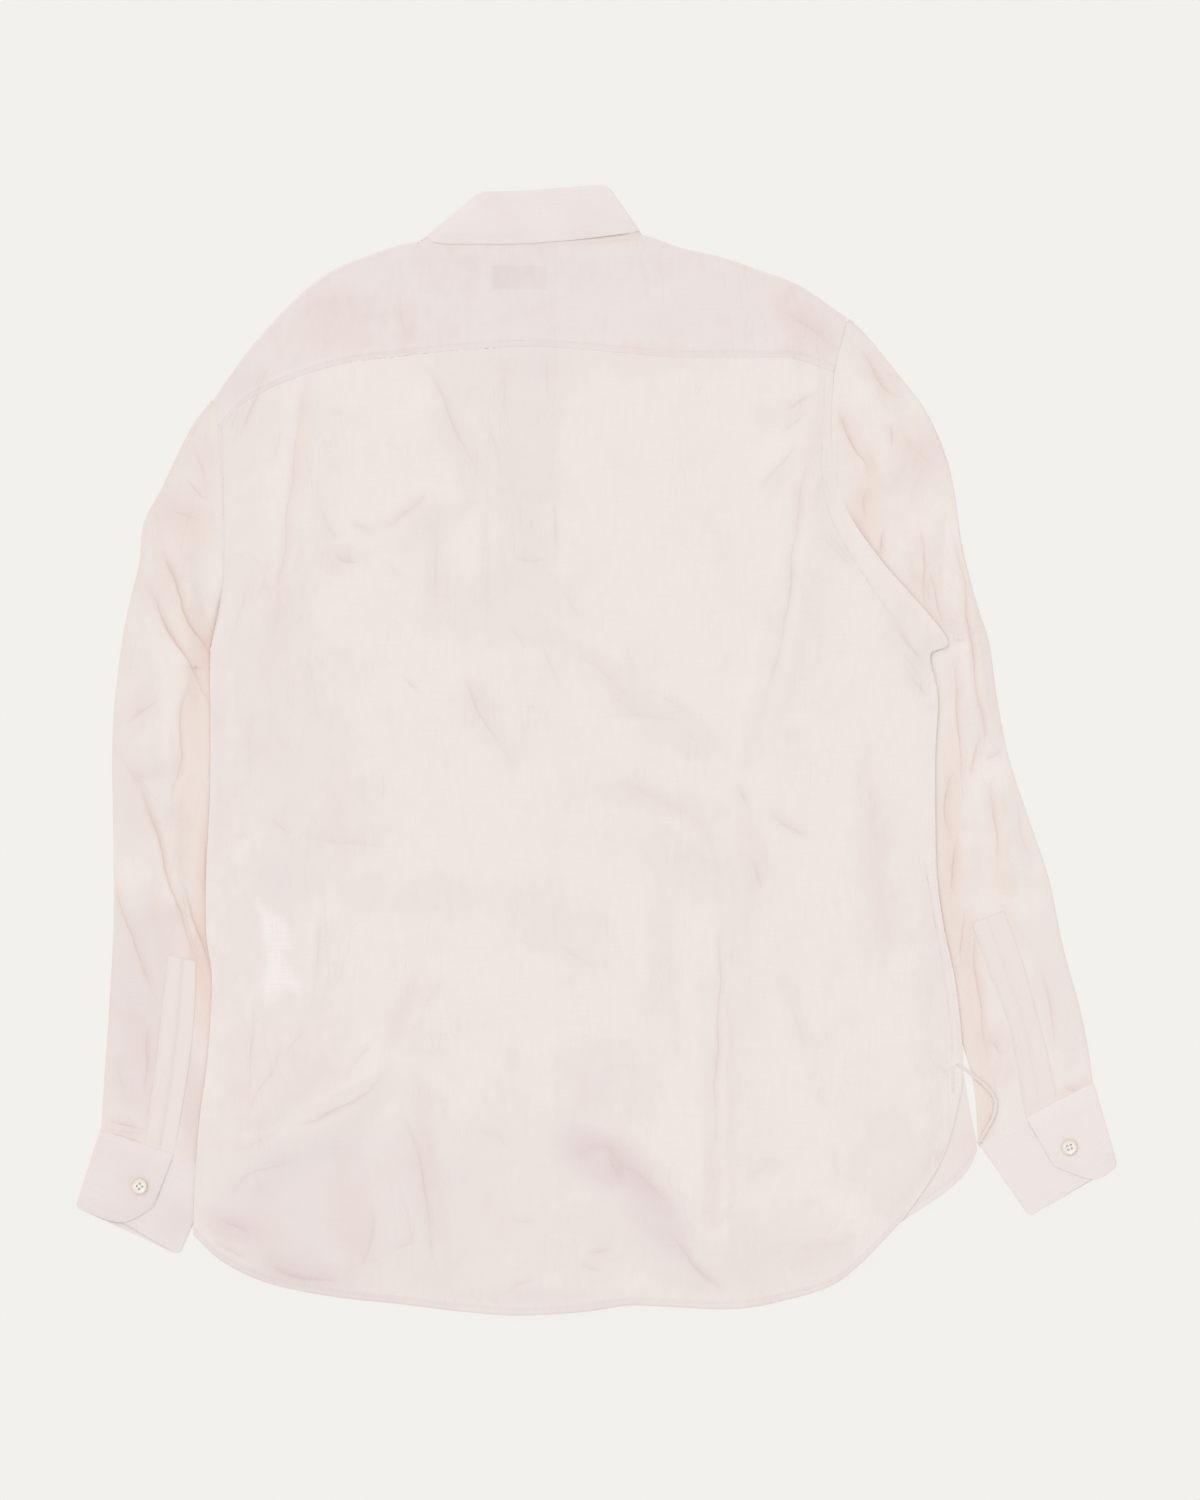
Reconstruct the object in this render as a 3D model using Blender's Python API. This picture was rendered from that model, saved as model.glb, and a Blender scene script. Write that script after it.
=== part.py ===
"""Silk blouse with long sleeves, lying flat with its back up.

Frame: X to the blouse's own right sleeve, Y towards the collar, Z up from the surface it lies on.
The origin is the middle of the underside of the whole outline. Sizes are millimetres until a mesh
is made. Each cut piece is one closed wall of cloth, stacked as the layers of a laid-out blouse:
buttons, placket, fronts and sleeves at the bottom, then the back and yoke, the collar's fall on top.
"""
import math
from collections import namedtuple

import bmesh
import bpy
import numpy as np

MM = 0.001

# ---- cloth and layers -------------------------------------------------------------------------
CLOTH = 1.2            # wall of every cut piece
GAP = 0.3              # air between neighbouring pieces
LAYER = CLOTH + GAP    # one wall and the air above it
CELL = 22.0            # usual spacing of a wall's points
FRONT_CELL = 28.0      # the same on the fronts, which lie flat below the back
SLEEVE_CELL = 24.0     # spacing of a sleeve's rings
SLEEVE_LINES = 7       # lines along a sleeve, side to side
BUTTON_RADIUS = 5.7    # 18 ligne
BUTTON_HEIGHT = 2.0
HOLE_RADIUS = 0.9
HOLE_SPACING = 3.2
BUTTON_SIDES = 16
HOLE_SIDES = 6
BUTTON_ROUGHNESS = 0.25
SILK_ROUGHNESS = 0.45
BAND_LINES = 3         # strips across a collar or cuff band
TURN_STEPS = 5         # steps round a folded edge
YOKE_DEPTH_STEPS = 5   # steps from the shoulder down to the yoke seam

PLACKET_REST = BUTTON_HEIGHT + GAP          # underside of the placket, on its buttons
OVERLAP_REST = PLACKET_REST + LAYER         # underside of the front that lies over the placket
BACK_REST = OVERLAP_REST + LAYER + GAP      # underside of the back over the middle of the body
SLEEVE_HEIGHT = CLOTH + LAYER               # a flattened sleeve, both walls
SIDE_REST = SLEEVE_HEIGHT + GAP             # underside of the fronts where they lie on a sleeve
YOKE_REACH = 24.0                           # how far the yoke turns over the shoulders to the front
SEAM_STEP = 1.2                             # how far the fronts' edges lie inside the back's
LEFT_COVER = 76.0                           # height below which the body lies over the left sleeve
RIGHT_COVER = 215.0                         # the same on the right
COVER_BLEND = 38.0                          # length over which it rises on to the sleeve

# ---- colours ----------------------------------------------------------------------------------
SILK = (0.82, 0.745, 0.72)
SILK_WARM = (0.83, 0.735, 0.69)
SHELL = (0.86, 0.84, 0.80)
CARE = (0.88, 0.87, 0.86)

# ---- outlines, in millimetres -----------------------------------------------------------------
# One row for each line that runs down the body, from the left armhole to the right one.
Column = namedtuple("Column", "shoulder_x shoulder_y seam_x seam_y hem_x hem_y")
COLUMNS = [
    Column(-276.0, 254.0, -272.0, 231.0, -290.5, -348.0),
    Column(-245.0, 296.0, -253.0, 252.0, -268.0, -368.0),
    Column(-200.0, 340.0, -218.0, 268.5, -233.0, -384.0),
    Column(-154.0, 360.5, -180.0, 280.0, -190.0, -393.0),
    Column(-127.5, 366.8, -140.0, 285.0, -145.0, -398.0),
    Column(-112.0, 364.2, -118.0, 287.5, -120.0, -401.0),
    Column(-88.0, 364.2, -95.0, 289.5, -95.0, -404.0),
    Column(-48.0, 364.2, -50.0, 292.0, -55.0, -406.0),
    Column(-12.0, 365.4, -12.0, 290.0, -10.0, -403.5),
    Column(22.0, 368.8, 22.0, 287.0, 20.0, -399.0),
    Column(34.5, 371.4, 33.0, 286.0, 38.0, -399.0),
    Column(60.0, 362.5, 62.0, 284.0, 62.0, -400.5),
    Column(89.0, 356.0, 90.0, 284.0, 95.0, -402.0),
    Column(118.0, 346.0, 115.0, 284.0, 130.0, -397.0),
    Column(147.0, 335.0, 143.0, 283.0, 175.0, -381.0),
    Column(181.0, 312.0, 171.0, 274.0, 221.0, -337.0),
]
NECK = (4, 10)         # the columns between which the collar is sewn on

# One row for each level down the body: armholes, underarms, sides and tails.
Level = namedtuple("Level", "left_x left_y right_x right_y")
LEVELS = [
    Level(-272.0, 231.0, 171.0, 274.0),
    Level(-270.5, 190.0, 169.5, 226.0),
    Level(-269.5, 152.0, 178.0, 180.0),
    Level(-270.5, 112.0, 203.0, 140.0),
    Level(-277.5, 74.0, 252.0, 82.0),
    Level(-278.3, 52.0, 240.5, 69.0),
    Level(-278.0, 22.0, 246.0, 38.0),
    Level(-278.5, -35.0, 244.0, -8.0),
    Level(-281.0, -86.0, 245.0, -84.0),
    Level(-281.0, -132.0, 250.0, -126.0),
    Level(-277.0, -165.0, 259.0, -170.0),
    Level(-280.0, -220.0, 264.0, -226.0),
    Level(-285.5, -262.0, 259.0, -262.0),
    Level(-289.0, -304.0, 247.0, -298.0),
    Level(-290.5, -348.0, 221.0, -337.0),
]
# The right front's tail shows below the back: its edge from the side seam to the hem's corner.
Tail = namedtuple("Tail", "x y")
RIGHT_TAIL = [Tail(264.0, -226.0), Tail(281.0, -237.0), Tail(287.0, -254.0), Tail(281.0, -272.0),
              Tail(274.5, -288.0)]

# The middle of the front placket, from the neck down to the hem.
Centre = namedtuple("Centre", "y x")
PLACKET_LINE = [Centre(280.0, -49.0), Centre(140.0, -49.0), Centre(-28.0, -27.0),
                Centre(-107.0, -12.0), Centre(-273.0, -9.0), Centre(-396.0, -6.0)]
PLACKET_WIDTH = 32.0
PLACKET_BELOW_NECK = 4.4
PLACKET_ROWS = 30
PLACKET_CLEARANCE = 4.0                     # level cloth beside the placket on the left front
OVERLAP_CLEARANCE = 24.0                    # the same on the right front
FRONT_OVERLAP = 12.0   # how far the right front passes the placket's middle
BUTTON_FIRST = 252.0   # height of the top placket button
BUTTON_PITCH = 86.0
BUTTON_COUNT = 7

# Top and hem of each front, from the side to the placket and from the placket to the side.
Edge = namedtuple("Edge", "top_x top_y hem_x hem_y")
LEFT_FRONT = [
    Edge(-272.0, 229.4, -289.0, -345.0),
    Edge(-264.5, 234.2, -279.0, -353.0),
    Edge(-255.0, 239.0, -268.0, -360.0),
    Edge(-242.6, 257.0, -252.0, -367.5),
    Edge(-225.6, 279.6, -228.0, -377.0),
    Edge(-186.6, 319.0, -188.0, -386.0),
    Edge(-155.8, 335.6, -163.0, -389.0),
    Edge(-131.4, 342.2, -142.0, -391.5),
    Edge(-113.0, 341.0, -118.0, -394.0),
    Edge(-102.5, 313.0, -86.0, -396.0),
    Edge(-83.0, 289.5, -54.0, -397.5),
    Edge(-65.8, 276.0, -23.0, -396.0),
]
RIGHT_FRONT = [
    Edge(-61.0, 275.0, -18.0, -395.0),
    Edge(-38.0, 275.2, 12.0, -391.0),
    Edge(-8.0, 291.0, 50.0, -392.0),
    Edge(9.5, 314.5, 88.0, -394.0),
    Edge(21.0, 342.0, 122.0, -390.0),
    Edge(33.8, 347.0, 150.0, -382.0),
    Edge(57.6, 338.0, 176.0, -371.0),
    Edge(83.2, 331.8, 202.0, -352.0),
    Edge(109.2, 322.4, 222.0, -337.5),
    Edge(135.0, 312.8, 245.0, -322.5),
    Edge(152.0, 301.4, 259.5, -311.0),
    Edge(166.8, 291.0, 269.0, -300.0),
    Edge(172.6, 287.4, 274.5, -288.0),
]

# Sleeves: one row for each ring, from the shoulder down to the cuff. The first rings end at the
# armhole and stay open there; from the underarm on the inner edge lies under the body.
Ring = namedtuple("Ring", "outer_x outer_y inner_x inner_y")
LEFT_RINGS = [
    Ring(-282.0, 247.0, -276.2, 246.0),
    Ring(-293.4, 231.0, -273.0, 229.0),
    Ring(-313.6, 189.0, -271.3, 188.0),
    Ring(-326.5, 164.0, -270.2, 154.0),
    Ring(-329.5, 136.0, -271.3, 112.0),
    Ring(-339.0, 96.0, -278.4, 73.0),
    Ring(-345.0, 56.0, -270.0, 46.0),
    Ring(-349.0, 5.0, -268.5, 0.0),
    Ring(-348.5, -55.0, -269.5, -58.0),
    Ring(-348.0, -120.0, -271.0, -125.0),
    Ring(-351.0, -180.0, -269.0, -190.0),
    Ring(-354.0, -225.0, -273.0, -246.0),
    Ring(-357.0, -271.0, -276.0, -300.0),
]
LEFT_UNDERARM = 5      # the row at which each sleeve closes
RIGHT_RINGS = [
    Ring(187.0, 307.0, 181.5, 304.0),
    Ring(199.0, 294.5, 176.0, 290.0),
    Ring(217.0, 272.0, 172.4, 268.0),
    Ring(238.0, 244.0, 170.8, 238.0),
    Ring(252.0, 212.0, 172.0, 206.0),
    Ring(258.5, 184.0, 181.0, 171.0),
    Ring(263.0, 150.0, 203.0, 133.0),
    Ring(270.0, 120.0, 225.0, 106.0),
    Ring(276.0, 100.0, 246.0, 84.0),
    Ring(283.0, 78.0, 234.5, 60.0),
    Ring(289.0, 36.0, 236.0, 24.0),
    Ring(298.0, -8.0, 235.0, -16.0),
    Ring(312.0, -50.0, 235.0, -58.0),
    Ring(326.0, -92.0, 238.0, -106.0),
    Ring(336.0, -140.0, 249.0, -166.0),
    Ring(347.0, -180.0, 259.0, -208.0),
    Ring(354.0, -212.0, 270.0, -242.0),
    Ring(357.5, -237.0, 275.0, -281.0),
]
RIGHT_UNDERARM = 8

# Sleeve plackets: one row for each level, the strip's two edges.
Strip = namedtuple("Strip", "left_x left_y right_x right_y")
LEFT_SLIT = [Strip(-308.3, -147.0, -288.6, -151.5), Strip(-312.0, -178.0, -289.5, -184.0),
             Strip(-316.5, -220.0, -292.7, -220.0), Strip(-321.0, -253.0, -298.5, -256.0),
             Strip(-325.5, -280.8, -303.8, -288.3)]
RIGHT_SLIT = [Strip(270.4, -123.8, 293.4, -115.2), Strip(284.0, -161.0, 306.0, -150.0),
              Strip(297.0, -196.0, 317.5, -190.0), Strip(304.0, -232.0, 325.5, -222.0),
              Strip(308.6, -261.6, 331.0, -249.6)]

# Collar: one row for each line across the band, from its rolled rim to its free or sewn rim.
Across = namedtuple("Across", "rim_x rim_y edge_x edge_y")
LEAF_LEFT_WING = [Across(-49.5, 307.0, -93.0, 273.0), Across(-71.0, 351.0, -112.0, 319.0),
                  Across(-84.5, 402.0, -123.5, 369.8)]
LEAF_BACK = [Across(-84.5, 402.0, -123.5, 369.8), Across(-60.0, 402.4, -98.0, 365.4),
             Across(-45.0, 403.2, -58.0, 365.4), Across(-22.0, 405.0, -18.0, 368.2),
             Across(-5.0, 406.4, 10.0, 371.4), Across(8.6, 406.4, 31.2, 374.2)]
LEAF_RIGHT_WING = [Across(8.6, 406.4, 31.2, 374.2), Across(-18.0, 354.0, 20.0, 322.0),
                   Across(-42.5, 307.0, 1.0, 275.0)]
STAND_LEFT_FRONT = [Across(-40.0, 302.0, -52.0, 276.8), Across(-69.5, 347.0, -98.0, 316.0),
                    Across(-83.0, 399.2, -119.5, 368.9)]
STAND_BACK = [Across(-83.0, 399.2, -119.5, 368.9), Across(-60.0, 399.6, -98.0, 365.4),
              Across(-45.0, 400.4, -50.0, 365.4), Across(-22.0, 402.2, -15.0, 366.4),
              Across(-5.0, 403.4, 12.0, 369.4), Across(6.2, 403.4, 27.6, 372.4)]
STAND_RIGHT_FRONT = [Across(6.2, 403.4, 27.6, 372.4), Across(-20.0, 350.0, 4.5, 317.0),
                     Across(-52.0, 303.0, -42.0, 276.6)]
NECK_BUTTON = (-46.0, 290.5)

# Cuffs: the lines across each cuff's band, in the order in which the band is wrapped.
LEFT_FLAP = [Across(-304.4, -290.6, -319.3, -328.6), Across(-321.0, -285.0, -342.4, -339.4),
             Across(-357.4, -272.6, -375.5, -328.8)]
LEFT_UNDER = [Across(-357.4, -272.6, -375.5, -328.8), Across(-273.4, -301.8, -300.6, -363.4)]
LEFT_TUCK = [Across(-273.4, -301.8, -300.6, -363.4), Across(-328.0, -283.6, -345.0, -337.4)]
RIGHT_FLAP = [Across(309.4, -264.2, 329.0, -298.8), Across(327.0, -254.6, 358.0, -308.6),
              Across(358.0, -238.6, 375.5, -298.8)]
RIGHT_UNDER = [Across(358.0, -238.6, 375.5, -298.8), Across(275.4, -282.8, 312.0, -335.5)]
RIGHT_TUCK = [Across(275.4, -282.8, 312.0, -335.5), Across(333.0, -253.0, 360.0, -306.4)]
LEFT_CUFF_BUTTON = (-328.7, -313.2)
RIGHT_CUFF_BUTTON = (340.2, -285.1)

# Labels sewn inside: blank tapes under the yoke and on the left front.
NECK_LABEL = (-76.5, -34.5, 331.0, 350.0)
NECK_LABEL_REST = 4.1
CARE_LABEL = [Strip(-245.0, -112.0, -221.0, -125.0), Strip(-241.0, -146.0, -217.0, -151.0),
              Strip(-238.0, -178.0, -212.0, -174.0)]
CARE_LIFT_OUTER = 2.5  # its outer side, where the front rises on to the sleeve
LABEL_WALL = 1.0

# The largest folds. Each is a soft ridge along a bent line, highest in its middle.
Fold = namedtuple("Fold", "name x0 y0 x1 y1 bend width height")
BACK_FOLDS = [
    Fold("left_shoulder_drape", -205, 275, -232, 85, 10, 17, 4.5),
    Fold("left_blade", -125, 262, -86, 176, -8, 16, 3.6),
    Fold("left_blade_turn", -84, 185, -150, 150, -8, 15, 4.2),
    Fold("blade_edge", -78, 240, -82, 110, 4, 18, 3.0),
    Fold("centre_drag", -100, 55, -62, -8, 3, 15, 3.2),
    Fold("centre_arc", -5, 62, 90, -75, -14, 20, 3.8),
    Fold("right_fan", 162, 245, 113, 0, 9, 17, 5.0),
    Fold("right_fan_upper", 160, 215, 112, 185, -6, 13, 2.6),
    Fold("right_skirt", 95, -108, 98, -388, -6, 20, 5.5),
    Fold("centre_skirt", 2, -275, 94, -390, -10, 17, 4.6),
    Fold("left_skirt_long", -146, -248, -112, -388, -10, 17, 3.8),
    Fold("left_hip_sweep", -150, -228, -255, -290, 12, 17, 4.4),
    Fold("left_hip_rise", -216, -198, -254, -276, 8, 16, 3.4),
    Fold("left_side_drop", -193, -108, -205, -190, -3, 16, 3.0),
    Fold("skirt_soft", -105, -158, -134, -218, 5, 18, 3.2),
    Fold("right_waist_band", 196, -22, 205, -150, 5, 20, 3.4),
    Fold("right_hem", 142, -360, 198, -345, 3, 16, 2.6),
]
LEFT_SLEEVE_FOLDS = [
    Fold("cap_roll", -306, 150, -290, 25, 8, 14, 7.0),
    Fold("elbow_ridge", -336, 52, -318, -20, -5, 13, 5.0),
    Fold("forearm", -318, -20, -302, -125, 6, 13, 5.0),
    Fold("forearm_outer", -334, -85, -326, -190, 4, 12, 3.6),
]
RIGHT_SLEEVE_FOLDS = [
    Fold("cap_roll", 190, 262, 212, 190, 6, 14, 6.0),
    Fold("upper_arm", 238, 170, 248, 55, -5, 14, 5.0),
    Fold("elbow_long", 262, 165, 276, 8, -6, 13, 6.0),
    Fold("forearm", 286, -8, 306, -120, -4, 13, 4.6),
    Fold("forearm_inner", 264, -60, 262, -110, 3, 11, 3.2),
]


# ---- working out the shapes -------------------------------------------------------------------
def ease(value):
    """Smooth step from 0 to 1."""
    value = np.clip(value, 0.0, 1.0)
    return value * value * (3.0 - 2.0 * value)


def fade(distance, inner, outer):
    """1 up to the inner distance, falling smoothly to 0 at the outer one."""
    return 1.0 - ease((distance - inner) / (outer - inner))


def spread(table, step):
    """Rows along a smooth line through a table's rows, about one step apart, each row kept."""
    rows = [np.array(row, float) for row in table]
    last = len(rows) - 1
    line = []
    for index in range(last):
        start = rows[index]
        end = rows[index + 1]
        before = rows[max(index - 1, 0)]
        after = rows[min(index + 2, last)]
        pairs = (end - start).reshape(-1, 2)
        count = max(1, round(float(np.linalg.norm(pairs, axis=1).max()) / step))
        for part in range(count):
            t = part / count
            pull = (end - before) * t + (2 * before - 5 * start + 4 * end - after) * t ** 2
            pull = pull + (3 * start - before - 3 * end + after) * t ** 3
            line.append(start + 0.5 * pull)
    line.append(rows[last])
    return np.array(line)


def shares(line):
    """How far along a line each of its rows lies, from 0 to 1, meaned over its point pairs."""
    steps = np.diff(line, axis=0).reshape(len(line) - 1, -1, 2)
    lengths = np.linalg.norm(steps, axis=2)
    travelled = np.vstack([np.zeros(lengths.shape[1]), np.cumsum(lengths, axis=0)])
    return (travelled / travelled[-1]).mean(axis=1)


def patch(sides, ends):
    """A grid filled in between two side lines and two end lines that share their corners."""
    down = shares(sides)[:, None, None]
    across = shares(ends)[None, :, None]
    left = sides[:, None, :2]
    right = sides[:, None, 2:]
    top = ends[None, :, :2]
    bottom = ends[None, :, 2:]
    corners = (1 - down) * ((1 - across) * ends[0, :2] + across * ends[-1, :2])
    corners = corners + down * ((1 - across) * ends[0, 2:] + across * ends[-1, 2:])
    return (1 - across) * left + across * right + (1 - down) * top + down * bottom - corners


def fold_height(x, y, folds):
    """Height of the folds at each point; where folds meet, the higher one wins."""
    height = np.zeros_like(x)
    for fold in folds:
        length = math.hypot(fold.x1 - fold.x0, fold.y1 - fold.y0)
        ux = (fold.x1 - fold.x0) / length
        uy = (fold.y1 - fold.y0) / length
        along = ((x - fold.x0) * ux + (y - fold.y0) * uy) / length
        aside = (y - fold.y0) * ux - (x - fold.x0) * uy
        aside = aside - fold.bend * np.sin(math.pi * np.clip(along, 0.0, 1.0))
        ends = ease(along / 0.3 + 0.35) * ease((1.0 - along) / 0.3 + 0.35)
        height = np.maximum(height, fold.height * ends * np.exp(-(aside / fold.width) ** 2))
    return height


def body_edges(y):
    """The body's left and right edge at a height."""
    rows = np.array(LEVELS[::-1])
    return np.interp(y, rows[:, 1], rows[:, 0]), np.interp(y, rows[:, 3], rows[:, 2])


def placket_middle(y):
    """The placket's middle at a height."""
    rows = spread(PLACKET_LINE, CELL)[::-1]
    return np.interp(y, rows[:, 0], rows[:, 1])


def side_share(x, y, lead):
    """How fully a point lies over a sleeve: 1 below an underarm, 0 along the armholes."""
    left = ease((LEFT_COVER + lead + COVER_BLEND - y) / COVER_BLEND)
    right = ease((RIGHT_COVER + lead + COVER_BLEND - y) / COVER_BLEND)
    return np.where(x < 0.0, left, right)


def edge_distance(x, y):
    """Distance from a point to the nearer side of the body."""
    left, right = body_edges(y)
    return np.minimum(x - left, right - x)


def hem_distance(x, y):
    """Height of a point above the back's hem."""
    rows = np.array(COLUMNS)
    return y - np.interp(x, rows[:, 4], rows[:, 5])


def back_rest(x, y):
    """Underside of the back and yoke: over the fronts, low at the armholes and the hem."""
    inside = edge_distance(x, y)
    edge = LAYER + SIDE_REST * side_share(x, y, 22.0)
    rest = edge + (BACK_REST - edge) * ease(inside / 45.0)
    over_placket = fade(np.abs(x - placket_middle(y)), 48.0, 95.0)
    hem_rest = LAYER + (BACK_REST - LAYER) * over_placket
    lowered = fade(hem_distance(x, y), 8.0, 60.0) * ease((inside - 40.0) / 36.0)
    return rest + (hem_rest - rest) * lowered


def wing_distance(x, y):
    """Distance outside the quarter under which a collar wing lies."""
    across = np.abs(x + 46.0)
    return np.maximum(np.maximum(across - 80.0, 270.0 - y), 0.0)


def front_rest(x, y, inner_rest, inner_flat):
    """Underside of a front: on the surface, over a sleeve at its side, raised at neck and placket."""
    beside = SIDE_REST * side_share(x, y, 0.0) * fade(edge_distance(x, y), 21.0, 36.0)
    at_neck = inner_rest * fade(wing_distance(x, y), 28.0, 62.0)
    from_placket = np.abs(x - placket_middle(y))
    at_placket = inner_rest * fade(from_placket, inner_flat, inner_flat + 36.0)
    return np.maximum(np.maximum(beside, at_neck), at_placket)


def sleeve_rest(x, y, folds):
    """Underside of a sleeve's upper wall: folds only where neither body nor placket lies on it."""
    outside = -edge_distance(x, y)
    armhole = np.where(x < 0.0, y > 60.0, y > 80.0)
    clear = np.where(armhole, ease((outside - 3.0) / 22.0), ease((outside - 8.0) / 16.0))
    slit = np.where(x < 0.0, fade(np.abs(x + 305.0), 30.0, 48.0), fade(np.abs(x - 302.0), 38.0, 60.0))
    start = np.where(x < 0.0, -112.0, -82.0)
    at_slit = slit * ease((start - y) / 25.0)
    return LAYER + fold_height(x, y, folds) * clear * (1.0 - at_slit)


# ---- meshes -----------------------------------------------------------------------------------
def plain(name, colour, roughness):
    """A plain material with the piece's colour."""
    material = bpy.data.materials.new(name)
    material.use_nodes = True
    shader = material.node_tree.nodes["Principled BSDF"]
    shader.inputs["Base Color"].default_value = (*colour, 1.0)
    shader.inputs["Roughness"].default_value = roughness
    shader.inputs["Metallic"].default_value = 0.0
    return material


def piece(name, points, faces, colour):
    """Make one named object from points in millimetres and faces, turned to point out."""
    mesh = bpy.data.meshes.new(name)
    mesh.from_pydata([tuple(p * MM for p in point) for point in points], [], faces)
    work = bmesh.new()
    work.from_mesh(mesh)
    loose = [vertex for vertex in work.verts if not vertex.link_faces]
    bmesh.ops.delete(work, geom=loose, context="VERTS")
    bmesh.ops.triangulate(work, faces=work.faces)
    bmesh.ops.recalc_face_normals(work, faces=work.faces)
    work.to_mesh(mesh)
    work.free()
    mesh.materials.append(plain(name + "_silk", colour, SILK_ROUGHNESS))
    bpy.context.scene.collection.objects.link(bpy.data.objects.new(name, mesh))


def wall(name, low, high, colour, keep=None):
    """A closed wall between two grids of points; keep says which of its cells are there."""
    rows, columns = low.shape[:2]
    count = rows * columns
    points = np.concatenate([low.reshape(-1, 3), high.reshape(-1, 3)])
    faces = []
    borders = set()
    for row in range(rows - 1):
        for column in range(columns - 1):
            if keep is not None and not keep[row][column]:
                continue
            start = row * columns + column
            ring = (start, start + 1, start + columns + 1, start + columns)
            faces.append(ring[::-1])
            faces.append(tuple(index + count for index in ring))
            for side in zip(ring, ring[1:] + ring[:1]):
                if side[::-1] in borders:
                    borders.remove(side[::-1])
                else:
                    borders.add(side)
    for first, second in sorted(borders):
        faces.append((first, second, second + count, first + count))
    piece(name, points, faces, colour)


def raised_wall(name, grid, rest, colour, thickness=CLOTH):
    """A wall over a flat grid, its underside at the given heights."""
    low = np.dstack([grid, rest])
    high = np.dstack([grid, rest + thickness])
    return wall(name, low, high, colour)


def sheet(name, middle, colour, keep=None):
    """A wall to both sides of a grid that may turn over, half its thickness each way."""
    along = np.gradient(middle, axis=0)
    across = np.gradient(middle, axis=1)
    normal = np.cross(across, along)
    normal = normal / np.linalg.norm(normal, axis=2)[:, :, None]
    half = normal * CLOTH / 2
    wall(name, middle - half, middle + half, colour, keep)


def flattened_tube(name, grid, upper, underarm, colour):
    """A sleeve: a lower wall on the surface, an upper wall over it, joined along the outer edge.

    Down to the underarm's row the inner side is the open armhole; below it the walls join there too.
    """
    rows, columns = grid.shape[:2]
    last = columns - 1
    width = np.linalg.norm(grid[:, last] - grid[:, 0], axis=1)[:, None]
    inset = (grid[:, last] - grid[:, 0]) / width * CLOTH * 1.1
    open_side = np.where(np.arange(rows) < underarm, 0.0, 1.0)[:, None]
    share = np.linspace(0.0, 1.0, columns)[None, :, None]
    hollow = grid + inset[:, None] * (1 - share) - (inset * open_side)[:, None] * share
    zero = np.zeros(rows)
    order = [(column, True) for column in range(columns)]
    order += [(column, False) for column in range(last, -1, -1)]
    outside = []
    inside = []
    for column, above in order:
        skin = upper[:, column] + CLOTH if above else zero
        lining = upper[:, column] if above else zero + CLOTH
        outside.append(np.column_stack([grid[:, column], skin]))
        inside.append(np.column_stack([hollow[:, column], lining]))
    around = len(order)
    points = np.concatenate([np.array(outside).reshape(-1, 3), np.array(inside).reshape(-1, 3)])
    skin = around * rows
    faces = []
    for place in range(around):
        after = (place + 1) % around
        armhole = place == last
        for row in range(rows):
            here = place * rows + row
            there = after * rows + row
            if row in (0, rows - 1) and not (armhole and row == 0) or armhole and row == underarm:
                faces.append((here, there, there + skin, here + skin))
            if row == rows - 1:
                continue
            if armhole and row < underarm:
                faces.append((here, here + 1, here + 1 + skin, here + skin))
                faces.append((there, there + 1, there + 1 + skin, there + skin))
            else:
                faces.append((here, there, there + 1, here + 1))
                faces.append((here + skin, there + skin, there + 1 + skin, here + 1 + skin))
    piece(name, points, faces, colour)


def wrapped_band(name, legs):
    """A band of cloth folded flat: legs of (rows, height of the wall's middle), turned at the folds."""
    lines = []
    for number, (rows, height) in enumerate(legs):
        plan = spread(rows, CELL)
        level = np.full(len(plan), height)
        if number > 0:
            plan = plan[1:]
            level = level[1:]
        if number < len(legs) - 1:
            plan = plan[:-1]
            level = level[:-1]
        lines += [(row[:2], row[2:], z) for row, z in zip(plan, level)]
        if number < len(legs) - 1:
            lines += fold_lines(spread(rows, CELL), height, legs[number + 1][1])
    grid = []
    for rim, edge, height in lines:
        share = np.linspace(0.0, 1.0, BAND_LINES + 1)[:, None]
        plan = rim + (edge - rim) * share
        grid.append(np.column_stack([plan, np.full(len(plan), height)]))
    sheet(name, np.array(grid), SILK)


def fold_lines(plan, height, next_height):
    """Half a turn about the line that ends a leg, its outermost line on the leg's own end."""
    end = plan[-1]
    before = plan[-2]
    fold = end[2:] - end[:2]
    out = np.array([fold[1], -fold[0]]) / np.linalg.norm(fold)
    if np.dot(out, end[:2] + end[2:] - before[:2] - before[2:]) < 0:
        out = -out
    radius = abs(next_height - height) / 2
    middle = (next_height + height) / 2
    lines = []
    for step in range(TURN_STEPS + 1):
        angle = math.pi * step / TURN_STEPS
        reach = radius * math.sin(angle) - radius - CLOTH / 2
        level = middle + (height - middle) * math.cos(angle)
        lines.append((end[:2] + out * reach, end[2:] + out * reach, level))
    return lines


# ---- the pieces -------------------------------------------------------------------------------
def make_back():
    """The back, from the yoke seam to the shirt-tail hem."""
    ends = spread(COLUMNS, CELL)[:, 2:]
    grid = patch(spread(LEVELS, CELL), ends)
    x = grid[:, :, 0]
    y = grid[:, :, 1]
    clear = ease(edge_distance(x, y) / 30.0)
    raised_wall("back", grid, back_rest(x, y) + fold_height(x, y, BACK_FOLDS) * clear, SILK)


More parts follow.
